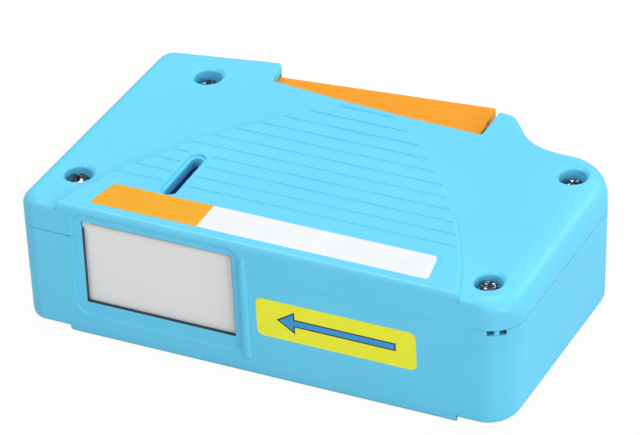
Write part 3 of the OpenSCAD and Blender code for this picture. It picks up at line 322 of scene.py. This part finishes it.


# Steel: drawn or turned streaks, with duller and brighter patches; on the dark screws the
# near-white patches are painted glints
def steel(name, look):
    colour, rough, size = look["colour"], look["roughness"], steelPattern
    material, tree, shader = startMaterial(name, colour, rough)
    place = objectPlace(tree, stretch=look["stretch"])
    streaks = noise(tree, place, size["streaksPerMm"], detail=4, rough=0.65)
    roughen(tree, shader, streaks, rough - size["smoother"], rough + size["rougher"])
    patches = noise(tree, objectPlace(tree), look.get("patchPerMm", size["patchPerMm"]))
    tone = spreadTo(tree, patches, 0, 1, *look.get("patchEdge", size["patchEdge"]))
    bright = look.get("bright", shade(colour, size["bright"]))
    tint(tree, shader, tone, shade(colour, size["dull"]), bright)
    bumps(tree, shader, (streaks, size["streakDeep"], size["streakStrength"]))
    setShine(shader, look)
    return material


filmPattern = {
    "tonePerMm": 0.15, "darker": 0.97, "lighter": 1.02, "dustPerMm": 0.9, "smoother": 0.06,
    "rougher": 0.08, "peelPerMm": 1.8, "peelDeep": 0.02, "peelStrength": 0.35,
}
filmLooks = {
    "whiteFilm": {"colour": (0.875, 0.90, 0.925), "roughness": 0.38},
    "orangeFilm": {"colour": (0.900, 0.410, 0.012), "roughness": 0.42, "specular": 0.25},
    "yellowFilm": {"colour": (1.00, 1.00, 0.038), "roughness": 0.42, "specular": 0.3},
    "blueInk": {"colour": (0.020, 0.330, 0.740), "roughness": 0.42},
    "darkInk": {"colour": (0.006, 0.012, 0.030), "roughness": 0.42},
}


# Printed film: a satin face with a faint orange-peel and dust-dull patches
def printedFilm(name, look):
    colour, rough, size = look["colour"], look["roughness"], filmPattern
    material, tree, shader = startMaterial(name, colour, rough)
    place = objectPlace(tree)
    tone = spreadTo(tree, noise(tree, place, size["tonePerMm"]), 0, 1)
    tint(tree, shader, tone, shade(colour, size["darker"]), shade(colour, size["lighter"]))
    dust = noise(tree, place, size["dustPerMm"], detail=4)
    roughen(tree, shader, dust, rough - size["smoother"], rough + size["rougher"])
    peel = noise(tree, place, size["peelPerMm"], detail=1)
    bumps(tree, shader, (peel, size["peelDeep"], size["peelStrength"]))
    setShine(shader, look)
    return material


lensLook = {
    "colour": (0.006, 0.022, 0.090), "second": (0.030, 0.016, 0.095), "tonePerMm": 0.25,
    "roughness": 0.16, "rougher": 0.08, "specular": 0.3,
    "scratchesPerMm": 9, "stretch": (1, 0.15, 1), "scratchDeep": 0.01, "scratchStrength": 0.2,
}


# Smoked lens: two deep blues and fine scratches along the slot
def smokedLens(name, look):
    rough = look["roughness"]
    material, tree, shader = startMaterial(name, look["colour"], rough)
    place = objectPlace(tree, stretch=look["stretch"])
    scratches = noise(tree, place, look["scratchesPerMm"], detail=4, rough=0.7)
    roughen(tree, shader, scratches, rough, rough + look["rougher"])
    clouds = noise(tree, objectPlace(tree), look["tonePerMm"], detail=2)
    tint(tree, shader, spreadTo(tree, clouds, 0, 1), look["colour"], look["second"])
    bumps(tree, shader, (scratches, look["scratchDeep"], look["scratchStrength"]))
    setShine(shader, look)
    return material


padLook = {
    "colour": (0.020, 0.020, 0.023), "fleck": (0.055, 0.055, 0.060), "roughness": 0.95,
    "fibresPerMm": 5, "fibreDeep": 0.12, "fibreStrength": 0.8,
    "clumpsPerMm": 0.9, "clumpDeep": 0.15, "clumpStrength": 0.5,
    "sheen": 0.5, "sheenRoughness": 0.5,
}


# Felted pad: matted fibres at two sizes with a soft sheen
def feltFinish(name, look):
    material, tree, shader = startMaterial(name, look["colour"], look["roughness"])
    place = objectPlace(tree)
    fibres = noise(tree, place, look["fibresPerMm"], detail=6, rough=0.75)
    clumps = noise(tree, place, look["clumpsPerMm"])
    tint(tree, shader, spreadTo(tree, fibres, 0, 1), look["colour"], look["fleck"])
    bumps(tree, shader, (clumps, look["clumpDeep"], look["clumpStrength"]),
          (fibres, look["fibreDeep"], look["fibreStrength"]))
    setShine(shader, look)
    return material


oneWavePerUnit = 0.314    # scale at which a wave texture has one wave in each unit

clothLook = {
    "colour": (0.86, 0.86, 0.90), "roughness": 0.85, "sheen": 0.3,
    "threadsPerMm": 5.0, "threadDeep": 0.05, "threadStrength": 0.6, "uneven": 0.4,
    "between": 0.9,                             # how dark it is between the threads
}


# Woven cloth on the piece's own UV map, whose unit is a millimetre
def wovenCloth(name, look):
    colour = look["colour"]
    material, tree, shader = startMaterial(name, colour, look["roughness"])
    where = addNode(tree, "ShaderNodeUVMap", uv_map="alongCloth")
    weave = addNode(tree, "ShaderNodeMath", operation="MULTIPLY")
    for socket, axis in zip(weave.inputs, ("X", "Y")):
        wave = addNode(tree, "ShaderNodeTexWave", bands_direction=axis,
                       Scale=look["threadsPerMm"] * oneWavePerUnit, Distortion=look["uneven"])
        tree.links.new(where.outputs["UV"], wave.inputs["Vector"])
        tree.links.new(wave.outputs["Fac"], socket)
    tint(tree, shader, weave.outputs[0], shade(colour, look["between"]), colour)
    bumps(tree, shader, (weave.outputs[0], look["threadDeep"], look["threadStrength"]))
    setShine(shader, look)
    return material


rollPattern = {
    "ringsPerMm": 4.0, "ringDeep": 0.05, "ringStrength": 0.5, "uneven": 0.6, "detail": 1.5,
    "stretch": (1, 1, 0.02),
    "between": 0.82,                            # how dark it is between the rings
}
rollLooks = {
    "freshRoll": {"colour": (0.035, 0.050, 0.170), "roughness": 0.8, "sheen": 0.25},
    "usedRoll": {"colour": (0.80, 0.80, 0.86), "roughness": 0.8, "sheen": 0.25},
}


# Edge of a wound roll: fine rings round its own axis
def woundEdge(name, look, centre):
    colour, size = look["colour"], rollPattern
    material, tree, shader = startMaterial(name, colour, look["roughness"])
    rings = addNode(tree, "ShaderNodeTexWave", wave_type="RINGS", rings_direction="Z",
                    Scale=size["ringsPerMm"] * oneWavePerUnit, Distortion=size["uneven"],
                    Detail=size["detail"])
    place = objectPlace(tree, (centre[0], centre[1], 0), size["stretch"])
    tree.links.new(place, rings.inputs["Vector"])
    tint(tree, shader, rings.outputs["Fac"], shade(colour, size["between"]), colour)
    bumps(tree, shader, (rings.outputs["Fac"], size["ringDeep"], size["ringStrength"]))
    setShine(shader, look)
    return material


plastics = {name: mouldedPlastic(name, look) for name, look in plasticLooks.items()}
steels = {name: steel(name, look) for name, look in steelLooks.items()}
films = {name: printedFilm(name, look) for name, look in filmLooks.items()}
lensMaterial = smokedLens("smokedLens", lensLook)
padMaterial = feltFinish("padFelt", padLook)
clothMaterial = wovenCloth("tapeCloth", clothLook)
print("materials made")


# Solids that stay as they are but for their broken edges: name, finish, slot, edge width
mouldings = {
    "top_shell": ("topShell", "shell", "shell", 0.16),
    "bottom_shell": ("bottomShell", "shell", "shell", 0.16),
    "lever": ("fingerLever", "leverPlastic", "lever_plastic", 0.25),
    "shutter": ("slidingShutter", "shutterPlastic", "shutter_plastic", 0.12),
    "slot_mask": ("slotMask", "maskPlastic", "mask_plastic", 0.15),
    "pad_holder": ("padHolder", "whitePlastic", "white_plastic", 0.15),
    "supply_spool": ("supplySpool", "spoolPlastic", "spool_plastic", 0.1),
    "take_up_spool": ("takeUpSpool", "spoolPlastic", "spool_plastic", 0.1),
    "drive_wheel": ("driveWheel", "gearPlastic", "gear_plastic", 0.08),
    "one_way_clutch": ("oneWayClutch", "clutchPlastic", "clutch_plastic", 0.08),
}
for node, (name, finish, slotName, width) in mouldings.items():
    skin = standFor(mergedCopy(node, name, width), node, slotName, plastics[finish])
    breakEdges(skin, width)

# Solids that show as they are, each with its own finish
carriedOver = {
    "shutter_rail": steels["brightSteel"],
    "reel_spindles": steels["brightSteel"],
    "guide_pins": steels["brightSteel"],
    "lever_pin": steels["brightSteel"],
    "anti_reverse_pawl": steels["springSteel"],
    "supply_drag_spring": steels["springSteel"],
    "spool_washers": plastics["washerPlastic"],
    "left_guide_roller": plastics["whitePlastic"],
    "right_guide_roller": plastics["whitePlastic"],
    "level_window": lensMaterial,
}
for node, material in carriedOver.items():
    slots = cadNodes[node].data.materials
    slots.clear()
    slots.append(material)
print("mouldings done")


screwSizes = {
    "places": ((-52.5, -24.1, 12), (-42.8, 23.1, 55),         # x, y and turn in degrees
               (53.8, 15.4, -8), (52.9, -29.4, 31)),
    "seat": 31.5, "headRadius": 2.75, "headHeight": 2.0,
    "dome": ((0, 1), (0.35, 1), (0.62, 0.94), (0.82, 0.78),   # shares of the radius and height
             (0.95, 0.5), (1, 0.22), (0.98, 0)),
    "shankRadius": 1.3, "length": 14.0, "pointRadius": 0.35, "pointLength": 1.5,
    "recessWidth": 0.7, "recessReach": 3.4, "recessDeep": 1.3, "recessTaper": (0.45, 0.75, 1),
    "brokenEdge": 0.08, "spinSteps": 40,
}


# Half outline of the head, shank and point, spun round
def screwBody(size):
    shank, tip, low = size["shankRadius"], size["pointRadius"], -size["length"]
    outline = [(r * size["headRadius"], z * size["headHeight"]) for r, z in size["dome"]]
    outline += [(shank, 0), (shank, low + size["pointLength"]), (tip, low), (0, low)]
    bm = bmesh.new()
    chain = [bm.verts.new(point(x, 0, z)) for x, z in outline]
    edges = [bm.edges.new(pair) for pair in zip(chain, chain[1:])]
    bmesh.ops.spin(bm, geom=chain + edges, cent=(0, 0, 0), axis=(0, 0, 1), angle=math.tau,
                   steps=size["spinSteps"], use_merge=True)
    bmesh.ops.remove_doubles(bm, verts=bm.verts, dist=0.001 * mm)
    bmesh.ops.recalc_face_normals(bm, faces=bm.faces)
    return bm


# Tapered cross, wide at the top
def recessCutter(size):
    bm = bmesh.new()
    span = point(size["recessReach"], size["recessWidth"], 2 * size["recessDeep"])
    for turn in (0, 90):
        box = bmesh.ops.create_cube(bm, size=1.0)["verts"]
        bmesh.ops.scale(bm, vec=span, verts=box)
        bmesh.ops.scale(bm, vec=size["recessTaper"], verts=[v for v in box if v.co.z < 0])
        bmesh.ops.rotate(bm, matrix=Matrix.Rotation(math.radians(turn), 3, "Z"), verts=box)
    bmesh.ops.translate(bm, vec=point(0, 0, size["headHeight"]), verts=bm.verts)
    return bm


# Mesh of the piece without the cutter's shape; both objects go
def cutAway(piece, cutter):
    tool = piece.modifiers.new("recess", "BOOLEAN")
    tool.operation = "DIFFERENCE"
    tool.solver = "EXACT"
    tool.use_self = True
    tool.object = cutter
    solved = piece.evaluated_get(bpy.context.evaluated_depsgraph_get())
    cut = bpy.data.meshes.new_from_object(solved)
    bpy.data.objects.remove(piece)
    bpy.data.objects.remove(cutter)
    return cut


# One screw, repeated at each place with its own turn
def fourScrews(size):
    cutScrew = cutAway(linkMesh("plainScrew", screwBody(size)),
                       linkMesh("recessCutter", recessCutter(size)))
    bm = bmesh.new()
    for x, y, turn in size["places"]:
        before = len(bm.verts)
        bm.from_mesh(cutScrew)
        bm.verts.ensure_lookup_table()
        added = bm.verts[before:]
        bmesh.ops.rotate(bm, matrix=Matrix.Rotation(math.radians(turn), 3, "Z"), verts=added)
        bmesh.ops.translate(bm, vec=point(x, y, size["seat"]), verts=added)
    weighEdges(bm, size["brokenEdge"])
    return linkMesh("crossScrews", bm)


screws = standFor(fourScrews(screwSizes), "case_screws", "screw_steel", steels["screwSteel"])
breakEdges(screws, screwSizes["brokenEdge"], segments=1)
print("screws done")


# Flat outline with round corners, as one face
def roundedPlate(corners, radius, segments=6):
    bm = bmesh.new()
    bm.faces.new([bm.verts.new(corner) for corner in corners])
    bmesh.ops.bevel(bm, geom=list(bm.verts), offset=radius * mm, offset_type="OFFSET",
                    affect="VERTICES", segments=segments, profile=0.5, material=-1)
    return bm


# Flat faces grow into a plate along vec
def thicken(bm, vec):
    grown = bmesh.ops.extrude_face_region(bm, geom=list(bm.faces), use_keep_orig=True)["geom"]
    bmesh.ops.translate(bm, vec=vec, verts=pick(BMVert, grown))
    bmesh.ops.recalc_face_normals(bm, faces=bm.faces)


topLabelSizes = {
    "corners": ((-43.6, -35.7), (41.1, -35.7), (39.4, -26.7), (-41.7, -26.7)),
    "cornerRadius": 1.0, "bottom": 35.85, "top": 36.02,
    "splitLow": (-16.35, -35.7), "splitHigh": (-16.35, -26.7),   # line between the two colours
}


# Film for the top, orange left of its split and white right of it
def topLabel(size):
    z = size["bottom"]
    bm = roundedPlate([point(x, y, z) for x, y in size["corners"]], size["cornerRadius"])
    low, high = (point(*p, z) for p in (size["splitLow"], size["splitHigh"]))
    along = high - low
    across = Vector((along.y, -along.x, 0)).normalized()
    bmesh.ops.bisect_plane(bm, geom=list(bm.verts) + list(bm.edges) + list(bm.faces),
                           plane_co=low, plane_no=across)
    thicken(bm, point(0, 0, size["top"] - z))
    for face in bm.faces:
        face.material_index = int((face.calc_center_median() - low).dot(across) < 0)
    return linkMesh("topLabelFilm", bm)


standFor(topLabel(topLabelSizes), "top_label", "white_film",
         films["whiteFilm"], films["orangeFilm"])

arrowLabelSizes = {
    "corners": ((-1.2, 12.0), (38.5, 12.0), (38.5, 22.1), (-1.2, 22.1)), "cornerRadius": 1.6,
    "front": -38.02, "back": -37.85,
    "tip": (3.9, 17.2), "headBase": 8.4, "headHeight": 5.9, "shaftEnd": 33.5, "shaftHeight": 2.1,
    "outline": 0.34, "inkThick": 0.015,
}


# Film for the front
def arrowLabel(size):
    corners = [point(x, size["back"], z) for x, z in size["corners"]]
    bm = roundedPlate(corners, size["cornerRadius"])
    thicken(bm, point(0, size["front"] - size["back"], 0))
    return linkMesh("arrowLabelFilm", bm)


# Arrow with a dark outline: the whole arrow, inset once, its middle in blue
def arrowPrint(size):
    (tipX, midZ), neckX, endX = size["tip"], size["headBase"], size["shaftEnd"]
    head, shaft = size["headHeight"] / 2, size["shaftHeight"] / 2
    outline = ((tipX, midZ), (neckX, midZ - head), (neckX, midZ - shaft), (endX, midZ - shaft),
               (endX, midZ + shaft), (neckX, midZ + shaft), (neckX, midZ + head))
    bm = bmesh.new()
    bm.faces.new([bm.verts.new(point(x, size["front"], z)) for x, z in outline])
    bm.normal_update()
    whole = list(bm.faces)
    bmesh.ops.inset_region(bm, faces=whole, thickness=size["outline"] * mm,
                           use_even_offset=True, use_boundary=True)
    for face in bm.faces:
        face.material_index = int(face in whole)
    thicken(bm, point(0, -size["inkThick"], 0))
    return linkMesh("arrowPrint", bm)


standFor(arrowLabel(arrowLabelSizes), "arrow_label", "yellow_film", films["yellowFilm"])
addToCase(arrowPrint(arrowLabelSizes), "yellow_film", films["darkInk"], films["blueInk"])
print("labels done")


windowShadeSizes = {
    "left": -45.1, "right": -7.1, "low": 9.4, "high": 31.4,
    "openCorner": 2.2,                                        # the top left corner stays open
    "front": -37.42, "back": -36.5, "thick": 0.14,
}


# Painted shade: a thin dark sheet on the window's inner walls, where shade falls, all the way round
# but for the open corner
def windowShadeSheet(size):
    left, right, low, high = (size[side] for side in ("left", "right", "low", "high"))
    corners = ((left, high - size["openCorner"]), (left, low), (right, low), (right, high),
               (left + size["openCorner"], high))
    bm = bmesh.new()
    chain = [bm.verts.new(point(x, size["front"], z)) for x, z in corners]
    edges = [bm.edges.new(pair) for pair in zip(chain, chain[1:])]
    grown = pick(BMVert, bmesh.ops.extrude_edge_only(bm, edges=edges)["geom"])
    bmesh.ops.translate(bm, vec=point(0, size["back"] - size["front"], 0), verts=grown)
    bmesh.ops.recalc_face_normals(bm, faces=bm.faces)
    return linkMesh("windowShadeSheet", bm, smoothAngle=30)


# Dark sheet of painted shade inside the window
windowShade = addToCase(windowShadeSheet(windowShadeSizes), "mask_plastic", plastics["paintedShadePlastic"])
giveWall(windowShade, "windowShadeWall", windowShadeSizes["thick"])

strapSlotShadeSizes = {
    "corner": (54.0, -30.0), "turn": 30,      # centre of the body's round corner, slot's direction
    "halfWidth": 2.15, "front": -7.62, "back": -4.72, "low": 25.85, "high": 27.04, "thick": 0.08,
}


# Painted shade: a thin dark sheet on the strap slot's back, ends and roof, where shade falls; its
# floor stays blue
def strapSlotShadeSheet(size):
    deep, tall = size["back"] - size["front"], size["high"] - size["low"]
    bm = bmesh.new()
    bmesh.ops.create_cube(bm, size=1.0)
    bm.normal_update()
    opened = [face for face in bm.faces if min(face.normal.y, face.normal.z) < -0.5]
    bmesh.ops.delete(bm, geom=opened, context="FACES")        # open to the front and below
    bmesh.ops.scale(bm, vec=point(2 * size["halfWidth"], deep, tall), verts=bm.verts)
    bmesh.ops.translate(bm, vec=point(0, size["front"] + deep / 2, size["low"] + tall / 2),
                        verts=bm.verts)
    bmesh.ops.rotate(bm, cent=(0, 0, 0), matrix=Matrix.Rotation(math.radians(size["turn"]), 3, "Z"),
                     verts=bm.verts)
    bmesh.ops.translate(bm, vec=point(*size["corner"], 0), verts=bm.verts)
    return linkMesh("strapSlotShadeSheet", bm, smoothAngle=30)


# Dark sheet of painted shade inside the strap slot
strapSlotShade = addToCase(strapSlotShadeSheet(strapSlotShadeSizes), "mask_plastic", plastics["paintedShadePlastic"])
giveWall(strapSlotShade, "strapSlotShadeWall", strapSlotShadeSizes["thick"])

ribSizes = {
    "centre": (-4.1, -37.98), "low": 4.4, "halfWidth": 1.0, "proud": 0.65, "around": 24,
    "foot": 0.3,                                              # share of the full section
    "rounds": ((0.15, 0.6), (0.5, 0.9), (1.2, 1.0), (22.6, 1.0),      # height and share
               (24.6, 0.86), (26.4, 0.6), (27.6, 0.25), (27.9, 0.04)),
}


# Raised rib beside the window: an oval drawn upwards, its top running out to a point
def frontRib(size):
    bm = bmesh.new()
    ring = bmesh.ops.create_circle(bm, segments=size["around"], radius=size["halfWidth"] * mm,
                                   cap_ends=True)["verts"]
    flat = size["proud"] / size["halfWidth"]
    bmesh.ops.scale(bm, vec=(size["foot"], size["foot"] * flat, 1), verts=ring)
    bm.faces.ensure_lookup_table()
    face = bm.faces[0]
    lastHeight, lastShare = 0, size["foot"]
    for height, share in size["rounds"]:
        grown = bmesh.ops.extrude_face_region(bm, geom=[face])["geom"]
        face = pick(BMFace, grown)[0]
        bmesh.ops.translate(bm, vec=point(0, 0, height - lastHeight), verts=pick(BMVert, grown))
        bmesh.ops.scale(bm, vec=(share / lastShare, share / lastShare, 1),
                        verts=pick(BMVert, grown))
        lastHeight, lastShare = height, share
    bmesh.ops.translate(bm, vec=point(*size["centre"], size["low"]), verts=bm.verts)
    bmesh.ops.recalc_face_normals(bm, faces=bm.faces)
    return linkMesh("frontRib", bm, smoothAngle=60)


addToCase(frontRib(ribSizes), "shell", plastics["shell"])
print("lining and rib done")


tapeSizes = {
    "thick": 0.25, "rollGap": 0.15, "rollerSteps": 10,
    "supply": (-28.9, 1.5, 21.0), "takeUp": (16.0, -7.35, 13.0),             # x, y and wound radius
    "leftRoller": (-46.2, -27.4, 2.2), "rightRoller": (-5.5, -27.4, 2.2),    # x, y and radius
    "core": 9.0, "layers": 24, "layerDeep": 0.06, "spinSteps": 72,
}
tapeLow, tapeTop = (corner.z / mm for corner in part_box("cleaning_tape"))


# Turn, seen from either centre, at which one line touches both circles on the same side
def tangentTurn(a, b):
    dx, dy = b[0] - a[0], b[1] - a[1]
    return math.atan2(dy, dx) - math.acos((a[2] - b[2]) / math.hypot(dx, dy))


def onCircle(circle, turn):
    x, y, radius = circle
    return point(x + radius * math.cos(turn), y + radius * math.sin(turn), tapeLow)


# Seen from above, where the ribbon's two edges lie over each other
def flatKey(co):
    return round(co.x, 7), round(co.y, 7)


# Ribbon along the tangent from the supply roll, round the two rollers and on to the take-up roll
def tapeRibbon(size):
    half = size["rollGap"] + size["thick"] / 2
    supply, left, right, takeUp = (
        (*size[key][:2], size[key][2] + half)
        for key in ("supply", "leftRoller", "rightRoller", "takeUp"))
    turnOn, turnOff = tangentTurn(supply, left), tangentTurn(right, takeUp)
    front = -math.pi / 2
    while turnOn > front:
        turnOn -= math.tau

    bm = bmesh.new()
    path = [bm.verts.new(onCircle(supply, turnOn))]
    for circle, start, end in ((left, turnOn, front), (right, front, turnOff)):
        path.append(bm.verts.new(onCircle(circle, start)))
        bm.edges.new(path[-2:])
        for k in range(size["rollerSteps"]):
            grown = bmesh.ops.extrude_vert_indiv(bm, verts=[path[-1]])["verts"]
            bmesh.ops.rotate(bm, cent=point(circle[0], circle[1], tapeLow), verts=grown,
                             matrix=Matrix.Rotation((end - start) / size["rollerSteps"], 3, "Z"))
            path += grown
    path.append(bm.verts.new(onCircle(takeUp, turnOff)))
    bm.edges.new(path[-2:])

    along, reach = {}, 0                                      # length run so far, for the UV map
    for before, after in zip([path[0]] + path, path):
        reach += (after.co - before.co).length / mm
        along[flatKey(after.co)] = reach
    grown = bmesh.ops.extrude_edge_only(bm, edges=list(bm.edges))["geom"]
    bmesh.ops.translate(bm, vec=point(0, 0, tapeTop - tapeLow), verts=pick(BMVert, grown))
    cloth = bm.loops.layers.uv.new("alongCloth")
    for face in bm.faces:
        for loop in face.loops:
            loop[cloth].uv = (along[flatKey(loop.vert.co)], loop.vert.co.z / mm)
    bmesh.ops.recalc_face_normals(bm, faces=bm.faces)
    return linkMesh("cleaningTape", bm, smoothAngle=60), reach


tape, tapeLength = tapeRibbon(tapeSizes)
standFor(tape, "cleaning_tape", "tape_cloth", clothMaterial)
giveWall(tape, "clothThickness", tapeSizes["thick"])


# Wound roll: its edge faces step in and out with the layers
def woundRoll(name, circle, size):
    x, y, radius = circle
    steps = 2 * size["layers"]
    rims = [(size["core"] + (radius - size["core"]) * k / steps, size["layerDeep"] * (k % 2))
            for k in range(steps + 1)]
    outline = [(r, tapeLow + deep) for r, deep in rims]
    outline += [(r, tapeTop - deep) for r, deep in reversed(rims)]
    bm = bmesh.new()
    ring = [bm.verts.new(point(r, 0, z)) for r, z in outline]
    edges = [bm.edges.new(pair) for pair in zip(ring, ring[1:] + ring[:1])]
    bmesh.ops.spin(bm, geom=ring + edges, cent=(0, 0, 0), axis=(0, 0, 1), angle=math.tau,
                   steps=size["spinSteps"], use_merge=True)
    bmesh.ops.remove_doubles(bm, verts=bm.verts, dist=0.001 * mm)
    bmesh.ops.recalc_face_normals(bm, faces=bm.faces)
    bmesh.ops.translate(bm, vec=point(x, y, 0), verts=bm.verts)
    return linkMesh(name, bm, smoothAngle=50)


for name, node, key, finish, slotName in (
        ("freshTapeRoll", "supply_tape_roll", "supply", "freshRoll", "tape_roll_dark"),
        ("usedTapeRoll", "take_up_tape_roll", "takeUp", "usedRoll", "tape_cloth")):
    roll = woundRoll(name, tapeSizes[key], tapeSizes)
    standFor(roll, node, slotName, woundEdge(finish, rollLooks[finish], tapeSizes[key]))

padSizes = {"rounding": 0.7, "roundSteps": 3, "crown": 0.12, "crownPower": 4, "cuts": 9}


# Felt pad: a rounded block whose face swells a little between its edges
def feltBlock(size):
    low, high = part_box("cleaning_pad")
    middle, span = (low + high) / 2, high - low
    bm = bmesh.new()
    bmesh.ops.create_cube(bm, size=1.0)
    bmesh.ops.scale(bm, vec=span, verts=bm.verts)
    bmesh.ops.bevel(bm, geom=list(bm.edges), offset=size["rounding"] * mm, offset_type="OFFSET",
                    affect="EDGES", segments=size["roundSteps"], profile=0.5, material=-1)
    bmesh.ops.subdivide_edges(bm, edges=list(bm.edges), cuts=size["cuts"], use_grid_fill=True)
    for vert in bm.verts:
        swell = 1
        for reach in (vert.co.x / span.x, vert.co.z / span.z):
            swell *= max(0, 1 - abs(reach * 2) ** size["crownPower"])
        vert.co.y *= 1 - (1 - swell) * 2 * size["crown"] * mm / span.y
    bmesh.ops.translate(bm, vec=middle, verts=bm.verts)
    bmesh.ops.recalc_face_normals(bm, faces=bm.faces)
    return linkMesh("feltPad", bm, smoothAngle=60)


pad = standFor(feltBlock(padSizes), "cleaning_pad", "pad_felt", padMaterial)
print("tape, rolls and pad done")


springSizes = {
    "axis": (-36.0, 26.4139), "wire": 0.3, "wireSides": 10, "coil": 3.1, "pitch": 0.75,
    "turns": 5, "shortBy": 1 / 360,             # whole turns would spin back onto the start
    "low": 12.1, "from": 88, "leg": 7.0, "stepsPerTurn": 24,
}


# A ring of wire spun up its coil; both ends then run straight out
def returnSpring(size):
    bm = bmesh.new()
    start, turns = math.radians(size["from"]), size["turns"] - size["shortBy"]
    steps = round(size["stepsPerTurn"] * turns)
    ring = bmesh.ops.create_circle(bm, segments=size["wireSides"],
                                   radius=size["wire"] * mm)["verts"]
    bmesh.ops.rotate(bm, matrix=Matrix.Rotation(math.pi / 2, 3, "X"), verts=ring)
    bmesh.ops.translate(bm, vec=point(size["coil"], 0, 0), verts=ring)
    bmesh.ops.rotate(bm, cent=(0, 0, 0), matrix=Matrix.Rotation(start, 3, "Z"), verts=ring)
    firstEdges = list(bm.edges)
    turned = bmesh.ops.spin(bm, geom=ring + firstEdges, cent=(0, 0, 0), axis=(0, 0, 1),
                            angle=turns * math.tau, steps=steps,
                            dvec=point(0, 0, size["pitch"] * turns / steps), use_merge=False)
    lastEdges = pick(BMEdge, turned["geom_last"])
    for edges, turn, way in ((firstEdges, start, -1), (lastEdges, start + turns * math.tau, 1)):
        grown = bmesh.ops.extrude_edge_only(bm, edges=edges)["geom"]
        leg = pick(BMVert, grown)
        outward = Vector((-math.sin(turn), math.cos(turn), 0)) * way
        bmesh.ops.translate(bm, vec=outward * size["leg"] * mm, verts=leg)
        rim = [edge for edge in pick(BMEdge, grown) if all(vert in leg for vert in edge.verts)]
        bmesh.ops.contextual_create(bm, geom=rim)
    bmesh.ops.translate(bm, vec=point(*size["axis"], size["low"]), verts=bm.verts)
    bmesh.ops.recalc_face_normals(bm, faces=bm.faces)
    return linkMesh("returnSpring", bm, smoothAngle=50)


standFor(returnSpring(springSizes), "lever_return_spring", "spring_steel", steels["springSteel"])
print("spring done")


# In this dictionary the floor's reach, the lamps' places and sizes and the aim are metres
studio = {
    "floorColour": (0.60, 0.60, 0.60), "floorRoughness": 0.9, "floorReach": 3.0, "floorSquares": 8,
    "floorGap": 0.2, "whiteShare": 0.96, "ambient": 0.32, "aim": (0, 0, 0.02),
    "lamps": (                                                # name, place, size and power in watts
        ("topSoftbox", (0.10, 0.35, 1.45), 0.9, 9.5),
        ("edgeSoftbox", (-0.57, -0.84, 1.10), 0.4, 5.2),
        ("rightSoftbox", (1.35, -0.60, 0.45), 0.8, 9.9),
        ("backSoftbox", (0.83, 1.11, 0.57), 0.5, 2.5),
    ),
}


# One for each kind of ray that is named, nought for the rest
def seenBy(tree, *rays):
    path = tree.nodes.new("ShaderNodeLightPath")
    seen = path.outputs[rays[0]]
    for ray in rays[1:]:
        either = addNode(tree, "ShaderNodeMath", operation="MAXIMUM")
        tree.links.new(seen, either.inputs[0])
        tree.links.new(path.outputs[ray], either.inputs[1])
        seen = either.outputs[0]
    return seen


# The floor takes the object's shadow, but shows as white to the camera
def paleFloor(settings):
    bm = bmesh.new()
    squares = settings["floorSquares"]
    bmesh.ops.create_grid(bm, x_segments=squares, y_segments=squares, size=settings["floorReach"])
    bmesh.ops.translate(bm, vec=point(0, 0, -settings["floorGap"]), verts=bm.verts)
    floor = linkMesh("paleFloor", bm)
    material, tree, shader = startMaterial("paleFloor", settings["floorColour"],
                                           settings["floorRoughness"])
    share = addNode(tree, "ShaderNodeMath", operation="MULTIPLY")
    tree.links.new(seenBy(tree, "Is Camera Ray", "Is Glossy Ray"), share.inputs[0])
    share.inputs[1].default_value = settings["whiteShare"]
    glow = tree.nodes.new("ShaderNodeEmission")
    mix = tree.nodes.new("ShaderNodeMixShader")
    for source, socket in zip((share, shader, glow), mix.inputs):
        tree.links.new(source.outputs[0], socket)
    tree.links.new(mix.outputs[0], tree.nodes["Material Output"].inputs["Surface"])
    floor.data.materials.append(material)


# White where it is seen, and only a dim light on the object
def paleWorld(settings):
    world = bpy.data.worlds.new("paleRoom")
    bpy.context.scene.world = world
    world.use_nodes = True
    tree = world.node_tree
    seen = seenBy(tree, "Is Camera Ray", "Is Glossy Ray", "Is Transmission Ray")
    strength = spreadTo(tree, seen, settings["ambient"], 1.0, 0, 1)
    back = tree.nodes["Background"]
    back.inputs["Color"].default_value = (1, 1, 1, 1)
    tree.links.new(strength, back.inputs["Strength"])


# Round softboxes, all turned to the aim
def addLamps(settings):
    for name, place, size, watts in settings["lamps"]:
        lamp = bpy.data.lights.new(name, "AREA")
        lamp.shape = "DISK"
        lamp.size = size
        lamp.energy = watts
        holder = bpy.data.objects.new(name, lamp)
        holder.location = place
        towards = Vector(settings["aim"]) - Vector(place)
        holder.rotation_euler = towards.to_track_quat("-Z", "Y").to_euler()
        bpy.context.scene.collection.objects.link(holder)


# Place and clip distances in metres, turn in radians
cameraSettings = {
    "place": (0.486111, -0.943530, 0.721731), "turn": (0.986245, 0.047262, 0.447318),
    "lens": 310.87, "sensor": 36, "clip": (0.05, 30),
}


def addCamera(settings):
    data = bpy.data.cameras.new("photoCamera")
    data.sensor_fit = "HORIZONTAL"
    data.sensor_width = settings["sensor"]
    data.lens = settings["lens"]
    data.clip_start, data.clip_end = settings["clip"]
    camera = bpy.data.objects.new("photoCamera", data)
    camera.location = settings["place"]
    camera.rotation_euler = settings["turn"]
    bpy.context.scene.collection.objects.link(camera)
    bpy.context.scene.camera = camera


paleFloor(studio)
paleWorld(studio)
addLamps(studio)
addCamera(cameraSettings)
bpy.context.scene.view_settings.view_transform = "Standard"
print("studio done")
